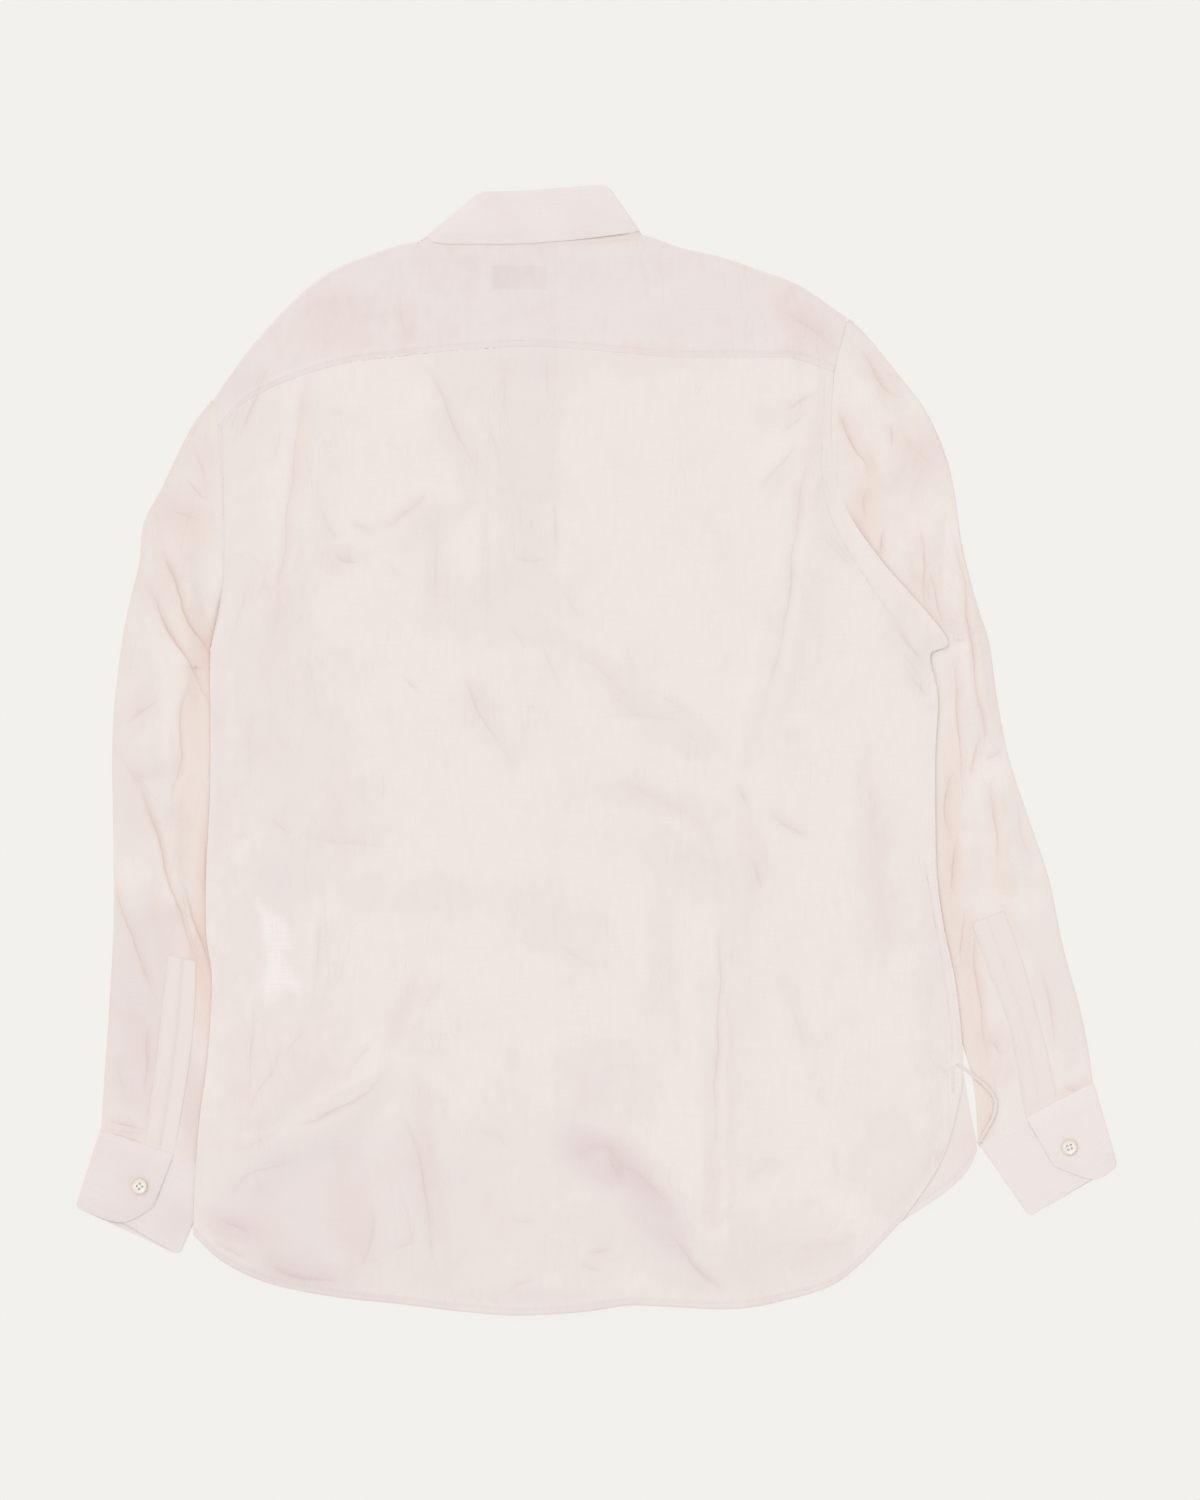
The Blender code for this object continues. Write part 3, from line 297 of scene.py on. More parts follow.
BACK_CREASES = crease_table(
    # left shoulder and blade
    (5, -1.8, 0.3, 0.5, 309, 359, 300, 425, 291, 491, 286, 539, 276, 626, 268, 662),
    (6, 1.4, -0.2, 0, 318, 362, 310, 430, 300, 500, 296, 560, 287, 640),
    (4, -0.9, 0, 0.3, 286, 415, 279, 440, 272, 470),
    (3.5, -1.4, 0.2, 0.6, 264, 372, 257, 395, 247, 421, 238, 446),
    (3.5, -1, 0, 0.4, 240, 405, 234, 418, 229, 434),
    (3.2, -0.8, 0, 0.3, 252, 385, 243, 410, 231, 452),
    (4, -1.5, 0.2, 0.55, 414, 350, 431, 373, 440, 392, 452, 421, 473, 466, 486, 495),
    (5, 1.3, 0, 0, 424, 348, 444, 378, 463, 418, 484, 462, 497, 492),
    (4, -0.8, 0, 0.3, 486, 508, 483, 555, 482, 595),
    (4, -0.9, 0, 0.3, 436, 522, 436, 566, 438, 612),
    (5, -1.1, 0, 0.35, 315, 498, 329, 527, 346, 547),
    (6.5, -1.9, 0.2, 0.75, 428, 484, 418, 506, 398, 520, 375, 534),
    (4, -0.8, 0, 0.4, 378, 535, 362, 528, 346, 524),
    (4.5, -1.6, 0, 0.7, 335, 553, 347, 562, 362, 561),
    (3.5, -0.7, 0, 0.25, 386, 558, 394, 570, 402, 583),
    (4, -0.7, 0, 0.3, 486, 420, 494, 445, 501, 468),
    (3.2, -0.7, 0, 0.35, 505, 352, 505, 384, 505, 424),
    (3.2, -0.7, 0, 0.35, 545, 352, 547, 378, 550, 406),
    (3.2, -0.8, 0, 0.45, 555, 496, 556, 528, 555, 560),
    (3.2, -0.6, 0, 0.3, 510, 556, 532, 561, 554, 560),
    (4, -0.8, 0, 0.25, 306, 650, 311, 676, 315, 698, 323, 735),
    (3.5, -1, 0, 0.4, 401, 674, 411, 685, 422, 697),
    (4.5, -1.7, 0.3, 0.55, 458, 666, 470, 692, 482, 717, 497, 742, 511, 763),
    (5.5, 1.2, 0, 0, 468, 664, 481, 690, 494, 716, 509, 742),
    (3.5, -0.8, 0, 0.3, 508, 622, 519, 638, 531, 653),
    (4, -0.6, 0, 0.25, 562, 586, 571, 603, 582, 623),
    (6, -0.8, 0, 0.35, 258, 560, 246, 590, 238, 620, 226, 668),
    (4, -0.7, 0, 0.3, 270, 555, 262, 585, 252, 612),
    (5, 1.3, 0, 0, 238, 640, 235, 686, 236, 740, 233, 800),
    (5, -0.8, 0, 0.3, 252, 700, 250, 760, 246, 812),
    # middle and right
    (9, -1.1, 0, 0.35, 553, 631, 593, 659, 612, 692, 641, 720, 661, 737),
    (8, 1.1, 0, 0, 575, 628, 612, 655, 640, 690, 672, 716),
    (6, -0.8, 0, 0.3, 644, 684, 667, 700, 697, 721),
    (9, -1.3, 0.2, 0.5, 604, 780, 650, 797, 680, 809, 705, 833, 726, 862),
    (6, 1.4, 0, 0, 640, 812, 672, 829, 697, 846, 726, 877),
    (5, -1.3, 0, 0.6, 735, 782, 742, 797, 748, 812),
    (5, -1.4, 0, 0.65, 750, 857, 757, 874, 763, 893),
    (4.5, -1.3, 0.2, 0.5, 765, 811, 788, 826, 801, 834, 810, 846),
    (4.5, -2, 0.3, 0.5, 820, 406, 813, 442, 801, 490, 794, 541, 789, 586, 784, 628, 771, 680, 762,
     731, 755, 748),
    (6, 1.4, 0, 0, 828, 430, 816, 490, 806, 545, 800, 600, 792, 655, 774, 730),
    (4.5, -1.5, 0.2, 0.55, 823, 396, 805, 397, 790, 408, 782, 414),
    (4, -1, 0, 0.4, 809, 409, 796, 420, 779, 436),
    (4, -1.3, 0.2, 0.5, 797, 437, 789, 455, 776, 471, 755, 491),
    (3.8, -1, 0, 0.4, 818, 534, 838, 553, 857, 571),
    (3.8, -0.8, 0, 0.35, 824, 530, 842, 549, 862, 573),
    (4.2, -1.3, 0, 0.55, 896, 622, 908, 645, 920, 662, 927, 674),
    (4, -1, 0, 0.5, 908, 672, 917, 686, 929, 698),
    (3.5, -0.8, 0, 0.4, 899, 652, 910, 664, 921, 681),
    (8, -1.2, 0, 0.55, 872, 782, 874, 815, 876, 858),
    (9, -1.3, 0, 0.65, 877, 866, 881, 905, 890, 958),
    (6, -0.8, 0, 0.3, 787, 984, 796, 1020, 804, 1057),
    (7, 1, 0, 0, 782, 1062, 805, 1086, 832, 1106),
    (6, -0.7, 0, 0.25, 668, 912, 672, 985, 678, 1060, 686, 1085),
    (6, -0.6, 0, 0.2, 640, 985, 650, 1040, 655, 1080),
    # skirt
    (4.5, -2, 0.3, 0.6, 722, 900, 720, 960, 718, 1020, 715, 1094, 716, 1180),
    (4, 1.8, -0.3, 0, 730, 905, 728, 1000, 727, 1100, 728, 1200, 731, 1296),
    (7, -1.2, 0, 0.45, 713, 1130, 712, 1165, 714, 1195),
    (10, -2.6, 0.2, 0.9, 566, 1160, 585, 1148, 605, 1148, 618, 1166, 628, 1190),
    (8, -1.7, 0.2, 0.65, 600, 1140, 620, 1165, 649, 1180, 666, 1202, 676, 1222),
    (6, 2, 0, 0, 592, 1118, 612, 1134, 640, 1152, 672, 1178, 690, 1205),
    (3.2, -1.6, 0.2, 0.6, 666, 1228, 683, 1249, 700, 1271, 728, 1297),
    (3, -1, 0, 0.5, 604, 1149, 612, 1163, 622, 1180),
    (4, -1.2, 0.2, 0.4, 327, 898, 319, 945, 315, 1004),
    (4, -1.4, 0.2, 0.45, 290, 1030, 274, 1068, 258, 1092, 245, 1131),
    (4, -2.2, 0.4, 0.7, 392, 1066, 371, 1088, 347, 1104, 316, 1119, 288, 1124),
    (5, 1.9, 0, 0, 398, 1052, 372, 1074, 340, 1094, 300, 1108, 270, 1124),
    (6, -1, 0, 0.35, 288, 1124, 261, 1139, 232, 1160),
    (8, -1.4, 0, 0.5, 450, 968, 433, 996, 420, 1022, 410, 1054),
    (3.8, -1.8, 0.2, 0.55, 398, 1092, 413, 1137, 425, 1182, 431, 1239, 443, 1290),
    (5, 1.3, 0, 0, 406, 1088, 424, 1140, 436, 1190, 442, 1240),
    (4, -1.4, 0.2, 0.45, 376, 1196, 371, 1234, 360, 1282),
    (4, -1.1, 0, 0.4, 304, 1161, 274, 1165, 250, 1174, 236, 1190, 229, 1209),
    (3.2, -0.9, 0, 0.45, 254, 1000, 252, 1045, 250, 1089),
    (3.4, -0.8, 0, 0.35, 312, 1022, 296, 1040, 282, 1064),
    (4, 1, 0, 0, 388, 1024, 366, 1046, 338, 1078),
    (3.4, -0.8, 0, 0.3, 374, 1042, 360, 1058, 346, 1080),
    (3.4, -0.8, 0, 0.3, 398, 1180, 408, 1216, 412, 1250),
    (3.4, -0.8, 0, 0.3, 388, 1252, 402, 1246, 420, 1240),
    (3.6, -1, 0, 0.45, 212, 1240, 232, 1252, 254, 1262),
    (4, -1, 0, 0.45, 268, 817, 281, 828, 295, 838),
    (4, -0.6, 0, 0.28, 296, 838, 340, 842, 392, 850),
    (3.4, -0.6, 0, 0.28, 552, 940, 574, 954, 598, 970),
    (3.4, -0.6, 0, 0.28, 556, 648, 590, 664, 622, 690, 640, 712),
    (3.4, -0.6, 0, 0.25, 584, 720, 640, 716, 700, 724),
    (3.4, -0.6, 0, 0.28, 540, 640, 548, 662, 560, 688),
    (3.4, -0.6, 0, 0.28, 486, 470, 487, 520, 488, 600, 486, 650),
    (3.4, -0.6, 0, 0.28, 324, 872, 326, 920, 325, 962),
    (5, -0.7, 0, 0.4, 382, 768, 384, 786, 385, 806),
    (6, -0.7, 0, 0.3, 742, 1183, 758, 1170, 777, 1157),
    (6, -0.8, 0, 0.25, 835, 1140, 835, 1168, 836, 1196),
    (7, -1, 0, 0.4, 790, 1250, 824, 1247, 862, 1238),
    (6, -1.8, 0, 0.9, 216, 1217, 232, 1226, 256, 1234),
    (6, -2, 0, 1, 258, 1262, 290, 1274, 322, 1281, 348, 1284),
    (3.5, -1.1, 0, 0.5, 584, 1255, 600, 1251, 615, 1246),
    (3.5, -1.1, 0, 0.5, 578, 1262, 590, 1267, 604, 1269),
    (3.5, -0.9, 0, 0.35, 494, 1296, 498, 1303, 504, 1311),
    (3.5, -0.8, 0, 0.3, 503, 1296, 520, 1284, 542, 1279),
    (6, -1, 0, 0.35, 478, 1130, 500, 1140, 512, 1154),
    (5, 0.9, 0, 0, 520, 1176, 544, 1164, 566, 1150),
    (5, -0.7, 0, 0.3, 505, 1215, 520, 1222, 540, 1218),
    (4, -0.8, 0, 0.4, 936, 1063, 944, 1071, 951, 1080),
    (4, -1.1, 0, 0.5, 934, 1166, 941, 1152, 950, 1140),
    (5, -0.8, 0, 0.35, 920, 1180, 931, 1160, 938, 1140))
FRONT_CREASES = crease_table(
    # ridges that show as soft troughs on the underside, which the photo hides
    (10, 1.7, 0.2, 0.8, 330, 420, 322, 500, 326, 600, 306, 720),
    (6, 1.2, 0, 0.7, 414, 470, 430, 540, 452, 590),
    (12, 1.7, 0.2, 0.9, 250, 600, 290, 640, 340, 668, 390, 680),
    (9, 1.4, 0, 0.7, 470, 700, 440, 760, 424, 830),
    (8, 1.3, 0, 0.6, 260, 760, 300, 790, 350, 800),
    (13, 1.8, 0.2, 0.9, 300, 900, 330, 960, 350, 1040, 346, 1100),
    (9, 1.4, 0, 0.7, 420, 960, 450, 1030, 462, 1110),
    (11, 1.6, 0.2, 0.9, 250, 1050, 296, 1090, 350, 1110, 400, 1100),
    (8, 1.3, 0, 0.7, 400, 1180, 424, 1220, 430, 1270),
    (8, 1.3, 0, 0.6, 270, 1190, 310, 1180, 350, 1200),
    (6, 1.2, 0, 0.7, 298, 380, 290, 430, 272, 474),
    (5, 1, 0, 0.6, 376, 858, 400, 880, 436, 886),
    (10, 1.7, 0.2, 0.9, 822, 400, 800, 470, 770, 560, 752, 640, 744, 700),
    (6, 1.2, 0, 0.7, 700, 380, 694, 430, 676, 470),
    (5, 1, 0, 0.6, 640, 560, 660, 590, 668, 640),
    (12, 1.8, 0.2, 0.9, 905, 655, 862, 668, 812, 700, 764, 752, 730, 820),
    (6, 1.2, 0, 0.7, 900, 700, 868, 716, 842, 742),
    (8, 1.3, 0, 0.6, 610, 800, 640, 850, 690, 880, 740, 884),
    (14, 1.9, 0.2, 0.9, 890, 940, 840, 960, 780, 1010, 740, 1080, 728, 1150),
    (7, 1.3, 0, 0.8, 652, 1010, 676, 1070, 686, 1150, 680, 1230),
    (6, 1.2, 0, 0.7, 880, 1120, 846, 1150, 796, 1166),
    (5, 1, 0, 0.6, 760, 1230, 790, 1222, 824, 1230))
YOKE_CREASES = crease_table(
    (4, -1.3, 0.2, 0.45, 400, 290, 404, 331, 414, 355),
    (4, -1.5, 0.2, 0.55, 784, 310, 808, 328, 825, 341, 837, 355),
    (6, 1, 0, 0, 790, 300, 815, 318, 832, 330),
    (6, -0.6, 0, 0.2, 462, 250, 470, 276, 480, 308),
    (4, -1, 0, 0.4, 268, 366, 262, 380, 256, 395),
    (6, -0.7, 0, 0.25, 336, 330, 326, 348, 318, 362),
    (7, -0.7, 0, 0.25, 520, 318, 545, 306, 560, 300))
LEFT_SLEEVE_CREASES = crease_table(
    (5, -3.4, 0.3, 1, 160, 540, 168, 560, 180, 598, 193, 628, 207, 652, 211, 680),
    (7, 1.8, 0, 0, 170, 528, 186, 570, 200, 606, 212, 634),
    (4, -2.4, 0.2, 0.85, 140, 568, 150, 592, 174, 640, 192, 668, 207, 700, 211, 722),
    (5, 1.6, 0, 0, 146, 560, 166, 604, 186, 640, 204, 668),
    (4.5, -2, 0.2, 0.7, 196, 676, 184, 700, 180, 740, 180, 768, 169, 808),
    (5, 1.4, 0, 0, 172, 700, 170, 740, 172, 780),
    (4, -0.9, 0, 0.4, 165, 697, 144, 711, 122, 727),
    (4.5, 1.5, 0, 0, 197, 745, 196, 764, 182, 786),
    (4, -2.2, 0.2, 0.7, 112, 747, 126, 768, 142, 789, 152, 819, 163, 855, 172, 891, 184, 924, 196,
     960, 208, 1001),
    (5, 1.7, 0, 0, 124, 750, 150, 782, 162, 822, 176, 868, 190, 908),
    (4, -2, 0, 0.8, 180, 876, 197, 929, 205, 955, 212, 985),
    (4.5, -1.9, 0.2, 0.55, 115, 867, 120, 900, 127, 926, 142, 963, 158, 1008),
    (5, 1.3, 0, 0, 124, 880, 134, 926, 148, 962),
    (4, -1, 0, 0.5, 184, 474, 196, 490, 208, 504),
    (9, -1.6, 0, 0.85, 168, 508, 184, 514, 202, 526),
    (7, -1, 0, 0.5, 190, 440, 200, 468, 210, 498),
    (4, -1.2, 0, 0.6, 104, 1121, 124, 1126, 146, 1129),
    (4, -1, 0, 0.5, 104, 1136, 124, 1137, 150, 1144),
    (6, -0.9, 0, 0.3, 116, 1050, 122, 1080, 126, 1110),
    (5, -1.4, 0, 0.5, 150, 1020, 146, 1060, 144, 1100),
    (5, -1.1, 0, 0.4, 206, 820, 204, 860, 205, 905))
RIGHT_SLEEVE_CREASES = crease_table(
    (5, -2.2, 0.2, 0.7, 836, 400, 845, 428, 853, 449, 867, 466, 870, 490),
    (7, -2, 0, 0.75, 870, 488, 864, 502, 864, 522),
    (6, 1.6, 0, 0, 846, 396, 858, 426, 874, 452, 880, 480),
    (6, -1.6, 0, 0.7, 854, 342, 866, 360, 878, 378, 892, 394, 908, 401),
    (5, 1.3, 0, 0, 864, 340, 882, 362, 904, 384),
    (5, -1.3, 0, 0.6, 887, 423, 891, 436, 893, 452),
    (9, -1.8, 0, 0.6, 902, 434, 918, 450, 930, 464, 934, 478),
    (4, -1.6, 0, 0.7, 885, 526, 882, 542, 880, 560),
    (4, -1.5, 0, 0.6, 920, 520, 923, 560, 925, 618),
    (4, -1.4, 0, 0.55, 926, 560, 932, 585, 940, 612, 949, 634),
    (5, 1.3, 0, 0, 912, 510, 914, 560, 915, 600),
    (4.5, -2.2, 0.2, 0.55, 950, 515, 957, 550, 964, 590, 970, 640, 977, 692, 985, 738, 982, 765,
     990, 782),
    (5.5, 1.8, 0, 0, 960, 540, 972, 610, 982, 670, 992, 730),
    (4, -1.7, 0, 0.6, 984, 732, 975, 755, 967, 783),
    (4, -1.7, 0.2, 0.6, 950, 644, 956, 690, 959, 740, 962, 775, 965, 807),
    (4.5, 1.4, 0, 0, 944, 660, 948, 710, 951, 752),
    (6, -2.2, 0, 0.95, 951, 762, 947, 786, 946, 812, 950, 846),
    (4, -1.5, 0, 0.6, 957, 826, 955, 850, 953, 874, 951, 892, 962, 886),
    (4.5, -1.8, 0, 0.5, 990, 774, 994, 820, 997, 853, 1000, 880),
    (5, 1.4, 0, 0, 1000, 780, 1004, 830, 1008, 872),
    (4, -1.2, 0, 0.45, 983, 760, 994, 755, 1006, 748),
    (4.5, -1.9, 0.2, 0.6, 971, 900, 974, 940, 977, 985, 983, 1025, 990, 1083),
    (4, -1.4, 0, 0.55, 964, 900, 962, 930, 961, 976),
    (4.5, 1.5, 0, 0, 980, 900, 985, 950, 988, 1010, 997, 1064),
    (4, -1.2, 0, 0.5, 985, 1036, 995, 1046, 1006, 1058),
    (4, -1.1, 0, 0.5, 1059, 1086, 1074, 1090, 1090, 1094),
    (5, -1.3, 0, 0.4, 1040, 960, 1050, 1010, 1060, 1060),
    (5, 1.1, 0, 0, 1052, 950, 1062, 1000, 1072, 1050),
    (6, -1, 0, 0.3, 1010, 780, 1022, 830, 1034, 880),
    (7, -0.9, 0, 0.5, 930, 400, 944, 440, 950, 480))

# ---- patches of painted shade --------------------------------------------------------------------
# Soft clouds of shade, placed on the same plan: mauve where layers lie close below, warm
# where the cloth stands in folds. Wide and tall are half sizes, turn is in degrees.
# Both kinds of cloud are painted shade.
Patch = namedtuple("Patch", "u v wide tall turn mauve warm")
BODY_PATCHES = table(Patch,
    # left shoulder, blade and side
    (240, 415, 36, 66, 0, 0.5, 0.1),
    (304, 430, 8, 85, -7, 0.1, 0.75),
    (284, 570, 12, 95, -8, 0.15, 0.6),
    (244, 620, 34, 150, 0, 0.45, 0.05),
    (285, 740, 66, 120, 0, 0.5, 0.05),
    (335, 840, 60, 60, 0, 0.35, 0.1),
    (228, 815, 20, 46, 0, 0.1, 0.5),
    (338, 800, 10, 40, 0, 0.1, 0.5),
    (345, 558, 24, 14, 0, 0.3, 0.5),
    (405, 512, 34, 12, 30, 0, 0.6),
    # upper middle
    (468, 425, 34, 86, 14, 0.42, 0.05),
    (530, 452, 30, 116, 0, 0.44, 0),
    (540, 364, 100, 22, 0, 0.46, 0),
    (655, 362, 46, 12, 0, 0.4, 0),
    (552, 392, 14, 34, 0, 0.4, 0),
    (496, 392, 12, 40, 0, 0.4, 0),
    (500, 600, 74, 50, 0, 0.4, 0),
    (436, 570, 10, 80, 0, 0.3, 0.2),
    (625, 690, 70, 16, -38, 0.5, 0.05),
    (690, 735, 46, 20, -20, 0.42, 0),
    (484, 712, 16, 50, 24, 0.35, 0.1),
    (690, 870, 50, 30, -35, 0.4, 0.05),
    (650, 800, 74, 14, -10, 0.42, 0),
    (740, 900, 26, 54, 0, 0.4, 0.1),
    (752, 845, 14, 34, 20, 0.25, 0.5),
    # right side
    (808, 470, 12, 90, -8, 0.1, 0.55),
    (786, 412, 34, 12, 20, 0.1, 0.5),
    (770, 640, 10, 170, -11, 0.42, 0.05),
    (918, 650, 26, 50, 30, 0.45, 0.1),
    (877, 860, 12, 84, 3, 0.2, 0.6),
    (868, 860, 20, 96, 3, 0.36, 0),
    (932, 990, 18, 90, 0, 0.46, 0),
    (803, 1030, 10, 64, 18, 0.34, 0),
    (895, 1160, 44, 60, -20, 0.46, 0.05),
    (790, 1250, 60, 46, 5, 0.5, 0),
    # waist
    (420, 900, 76, 22, 0, 0.45, 0.05),
    (560, 925, 46, 34, -40, 0.48, 0),
    (290, 880, 50, 40, 0, 0.48, 0),
    (255, 960, 50, 90, 0, 0.42, 0.05),
    # skirt
    (330, 1190, 150, 104, 0, 0.66, 0.05),
    (325, 1060, 40, 44, 0, 0.25, 0.56),
    (252, 1076, 32, 60, -15, 0.25, 0.52),
    (352, 1218, 20, 62, 8, 0.2, 0.56),
    (238, 1226, 42, 20, -18, 0.86, 0.36),
    (264, 1190, 34, 24, 20, 0.7, 0),
    (219, 752, 9, 100, 0, 0.55, 0.1),
    (300, 1262, 70, 18, -16, 0.7, 0),
    (302, 1276, 62, 13, -12, 0.9, 0.1),
    (405, 1010, 12, 56, -22, 0.2, 0.56),
    (428, 1150, 10, 90, 9, 0.2, 0.5),
    (487, 1200, 84, 104, 0, 0.46, 0),
    (605, 1090, 48, 44, 0, 0.52, 0),
    (600, 1158, 52, 28, -24, 1, 0),
    (624, 1170, 64, 12, -42, 0.95, 0),
    (692, 1262, 46, 8, -42, 0.6, 0),
    (655, 1216, 60, 26, -52, 0.85, 0),
    (620, 1240, 74, 50, 0, 0.52, 0),
    (726, 1090, 8, 170, 2, 0.1, 0.5),
    (708, 1060, 10, 120, 2, 0.42, 0),
    (712, 1190, 12, 40, 0, 0.5, 0.5),
    (660, 960, 16, 90, 0, 0.4, 0),
    (520, 1296, 110, 12, 0, 0.6, 0.05))
YOKE_PATCHES = table(Patch,
    (330, 325, 70, 36, 14, 0, 0.38),
    (806, 324, 40, 16, -36, 0, 0.6),
    (405, 325, 10, 46, 6, 0.1, 0.35),
    (250, 386, 24, 24, 0, 0.45, 0.1),
    (642, 348, 44, 7, -3, 0, 0.32),
    (790, 352, 30, 6, 0, 0, 0.25),
    (370, 325, 80, 34, 0, 0.28, 0.05),
    (455, 275, 40, 36, 0, 0.3, 0),
    (590, 270, 120, 20, 0, 0.16, 0))
LEFT_SLEEVE_PATCHES = table(Patch,
    (184, 518, 26, 26, 0, 0.1, 0.6),
    (180, 600, 16, 66, 20, 0.1, 0.55),
    (198, 700, 16, 70, 0, 0.05, 0.75),
    (150, 600, 12, 60, 20, 0.2, 0.3),
    (130, 690, 26, 60, 0, 0.5, 0),
    (138, 800, 30, 60, 10, 0.6, 0),
    (186, 800, 20, 60, 0, 0, 0.55),
    (204, 920, 11, 110, 0, 0.05, 1),
    (172, 950, 16, 80, 15, 0.2, 0.4),
    (140, 1000, 40, 110, 0, 0.88, 0.14),
    (192, 1110, 12, 60, 0, 0.7, 0.5),
    (198, 965, 9, 30, 10, 0.05, 1.25),
    (140, 1085, 42, 52, 0, 0.7, 0.12),
    (164, 450, 26, 56, -30, 0.62, 0.05),
    (160, 520, 40, 100, -12, 0.5, 0.15),
    (208, 652, 9, 26, 0, 0.05, 1.2),
    (206, 470, 10, 70, 0, 0.3, 0.3),
    (126, 1131, 26, 8, -8, 0.3, 0.5))
RIGHT_SLEEVE_PATCHES = table(Patch,
    (866, 508, 15, 34, 0, 0.1, 0.7),
    (872, 474, 10, 30, 0, 0.1, 0.55),
    (852, 440, 10, 40, 12, 0.1, 0.35),
    (918, 452, 20, 32, 26, 0.2, 0.6),
    (900, 500, 44, 56, 0, 0.1, 0.22),
    (944, 430, 22, 60, -20, 0.5, 0),
    (932, 580, 20, 70, 20, 0.2, 0.34),
    (957, 700, 11, 90, 0, 0, 0.2),
    (952, 858, 11, 104, 0, 0.05, 0.8),
    (992, 690, 7, 80, 8, 0.32, 0.05),
    (1000, 850, 12, 90, 8, 0.1, 0.4),
    (974, 1000, 14, 100, 6, 0.2, 0.6),
    (1000, 1060, 18, 36, 0, 0.3, 0.3),
    (1052, 960, 26, 110, 12, 0.4, 0),
    (984, 1110, 12, 32, 0, 0.2, 0.7),
    (882, 380, 22, 50, 35, 0.35, 0.2),
    (1074, 1090, 22, 8, 20, 0.3, 0.5))


# ---- working out the shapes ---------------------------------------------------------------------
# In the formulas a number beside a distance is in millimetres, and a factor is a share of a height,
# a depth or a shade. They were set against the photo.
def ease(value):
    value = np.clip(value, 0.0, 1.0)
    return value * value * (3.0 - 2.0 * value)


def fade(distance, inner, outer):
    """1 up to the inner distance, falling smoothly to 0 at the outer one."""
    return 1.0 - ease((distance - inner) / (outer - inner))


def bell(distance, width):
    return np.exp(-(distance / width) ** 2)


def plane(points):
    """The x and the y of points."""
    return points[..., 0], points[..., 1]


def unit(rows):
    """Rows of vectors, each brought to length one."""
    return rows / np.linalg.norm(rows, axis=1)[:, None]


def travelled(line):
    """How far along a line each of its points lies."""
    return np.concatenate([[0.0], np.cumsum(np.linalg.norm(np.diff(line, axis=0), axis=1))])


def pair_steps(line):
    """Lengths of a line's steps, one column for each of its point pairs."""
    return np.linalg.norm(np.diff(line, axis=0).reshape(len(line) - 1, -1, 2), axis=2)


def spread(rows, step):
    """Rows along a smooth line through a table's rows, about one step apart, each row kept."""
    rows = np.array(rows, float)
    last = len(rows) - 1
    line = []
    for index in range(last):
        before, start = rows[max(index - 1, 0)], rows[index]
        end, after = rows[index + 1], rows[min(index + 2, last)]
        count = max(1, round(float(pair_steps(rows[index:index + 2]).max()) / step))
        for part in range(count):
            t = part / count
            pull = (end - before) * t + (2 * before - 5 * start + 4 * end - after) * t ** 2
            pull = pull + (3 * start - before - 3 * end + after) * t ** 3
            line.append(start + 0.5 * pull)
    line.append(rows[last])
    return np.array(line)


def shares(line):
    """How far along a line each of its rows lies, from 0 to 1, meaned over its point pairs."""
    steps = pair_steps(line)
    reached = np.vstack([np.zeros(steps.shape[1]), np.cumsum(steps, axis=0)])
    return (reached / reached[-1]).mean(axis=1)


def even_rows(rows, step):
    """Rows evenly along a table's smooth line, their number one more than a multiple of LINING."""
    line = spread(rows, 1.0)
    length = pair_steps(line).sum(axis=0).max()
    at = np.linspace(0.0, 1.0, LINING * max(1, round(length / step / LINING)) + 1)
    along = shares(line)
    return np.column_stack([np.interp(at, along, column) for column in line.T])


def patch(sides, ends):
    """A grid filled in between two side lines and two end lines that share their corners."""
    down = shares(sides)[:, None, None]
    across = shares(ends)[None, :, None]
    left = sides[:, None, :2]
    right = sides[:, None, 2:]
    top = ends[None, :, :2]
    bottom = ends[None, :, 2:]
    corners = (1 - down) * ((1 - across) * ends[0, :2] + across * ends[-1, :2])
    corners = corners + down * ((1 - across) * ends[0, 2:] + across * ends[-1, 2:])
    return (1 - across) * left + across * right + (1 - down) * top + down * bottom - corners


def fold_height(x, y, folds):
    """Height of the large folds at each point; where folds meet, the higher one wins."""
    height = np.zeros_like(x)
    for fold in folds:
        length = math.hypot(fold.x1 - fold.x0, fold.y1 - fold.y0)
        ux = (fold.x1 - fold.x0) / length
        uy = (fold.y1 - fold.y0) / length
        along = ((x - fold.x0) * ux + (y - fold.y0) * uy) / length
        aside = (y - fold.y0) * ux - (x - fold.x0) * uy
        aside = aside - fold.bend * np.sin(math.pi * np.clip(along, 0.0, 1.0))
        ends = ease(along / 0.3 + 0.35) * ease((1.0 - along) / 0.3 + 0.35)
        height = np.maximum(height, fold.height * ends * bell(aside, fold.width))
    return height


def on_plan(line):
    """Plan units as millimetres in the row's frame."""
    points = np.array(line, float)
    return np.column_stack([(points[:, 0] - PLAN_MIDDLE_U) * PLAN_UNIT,
                            (PLAN_MIDDLE_V - points[:, 1]) * PLAN_UNIT])


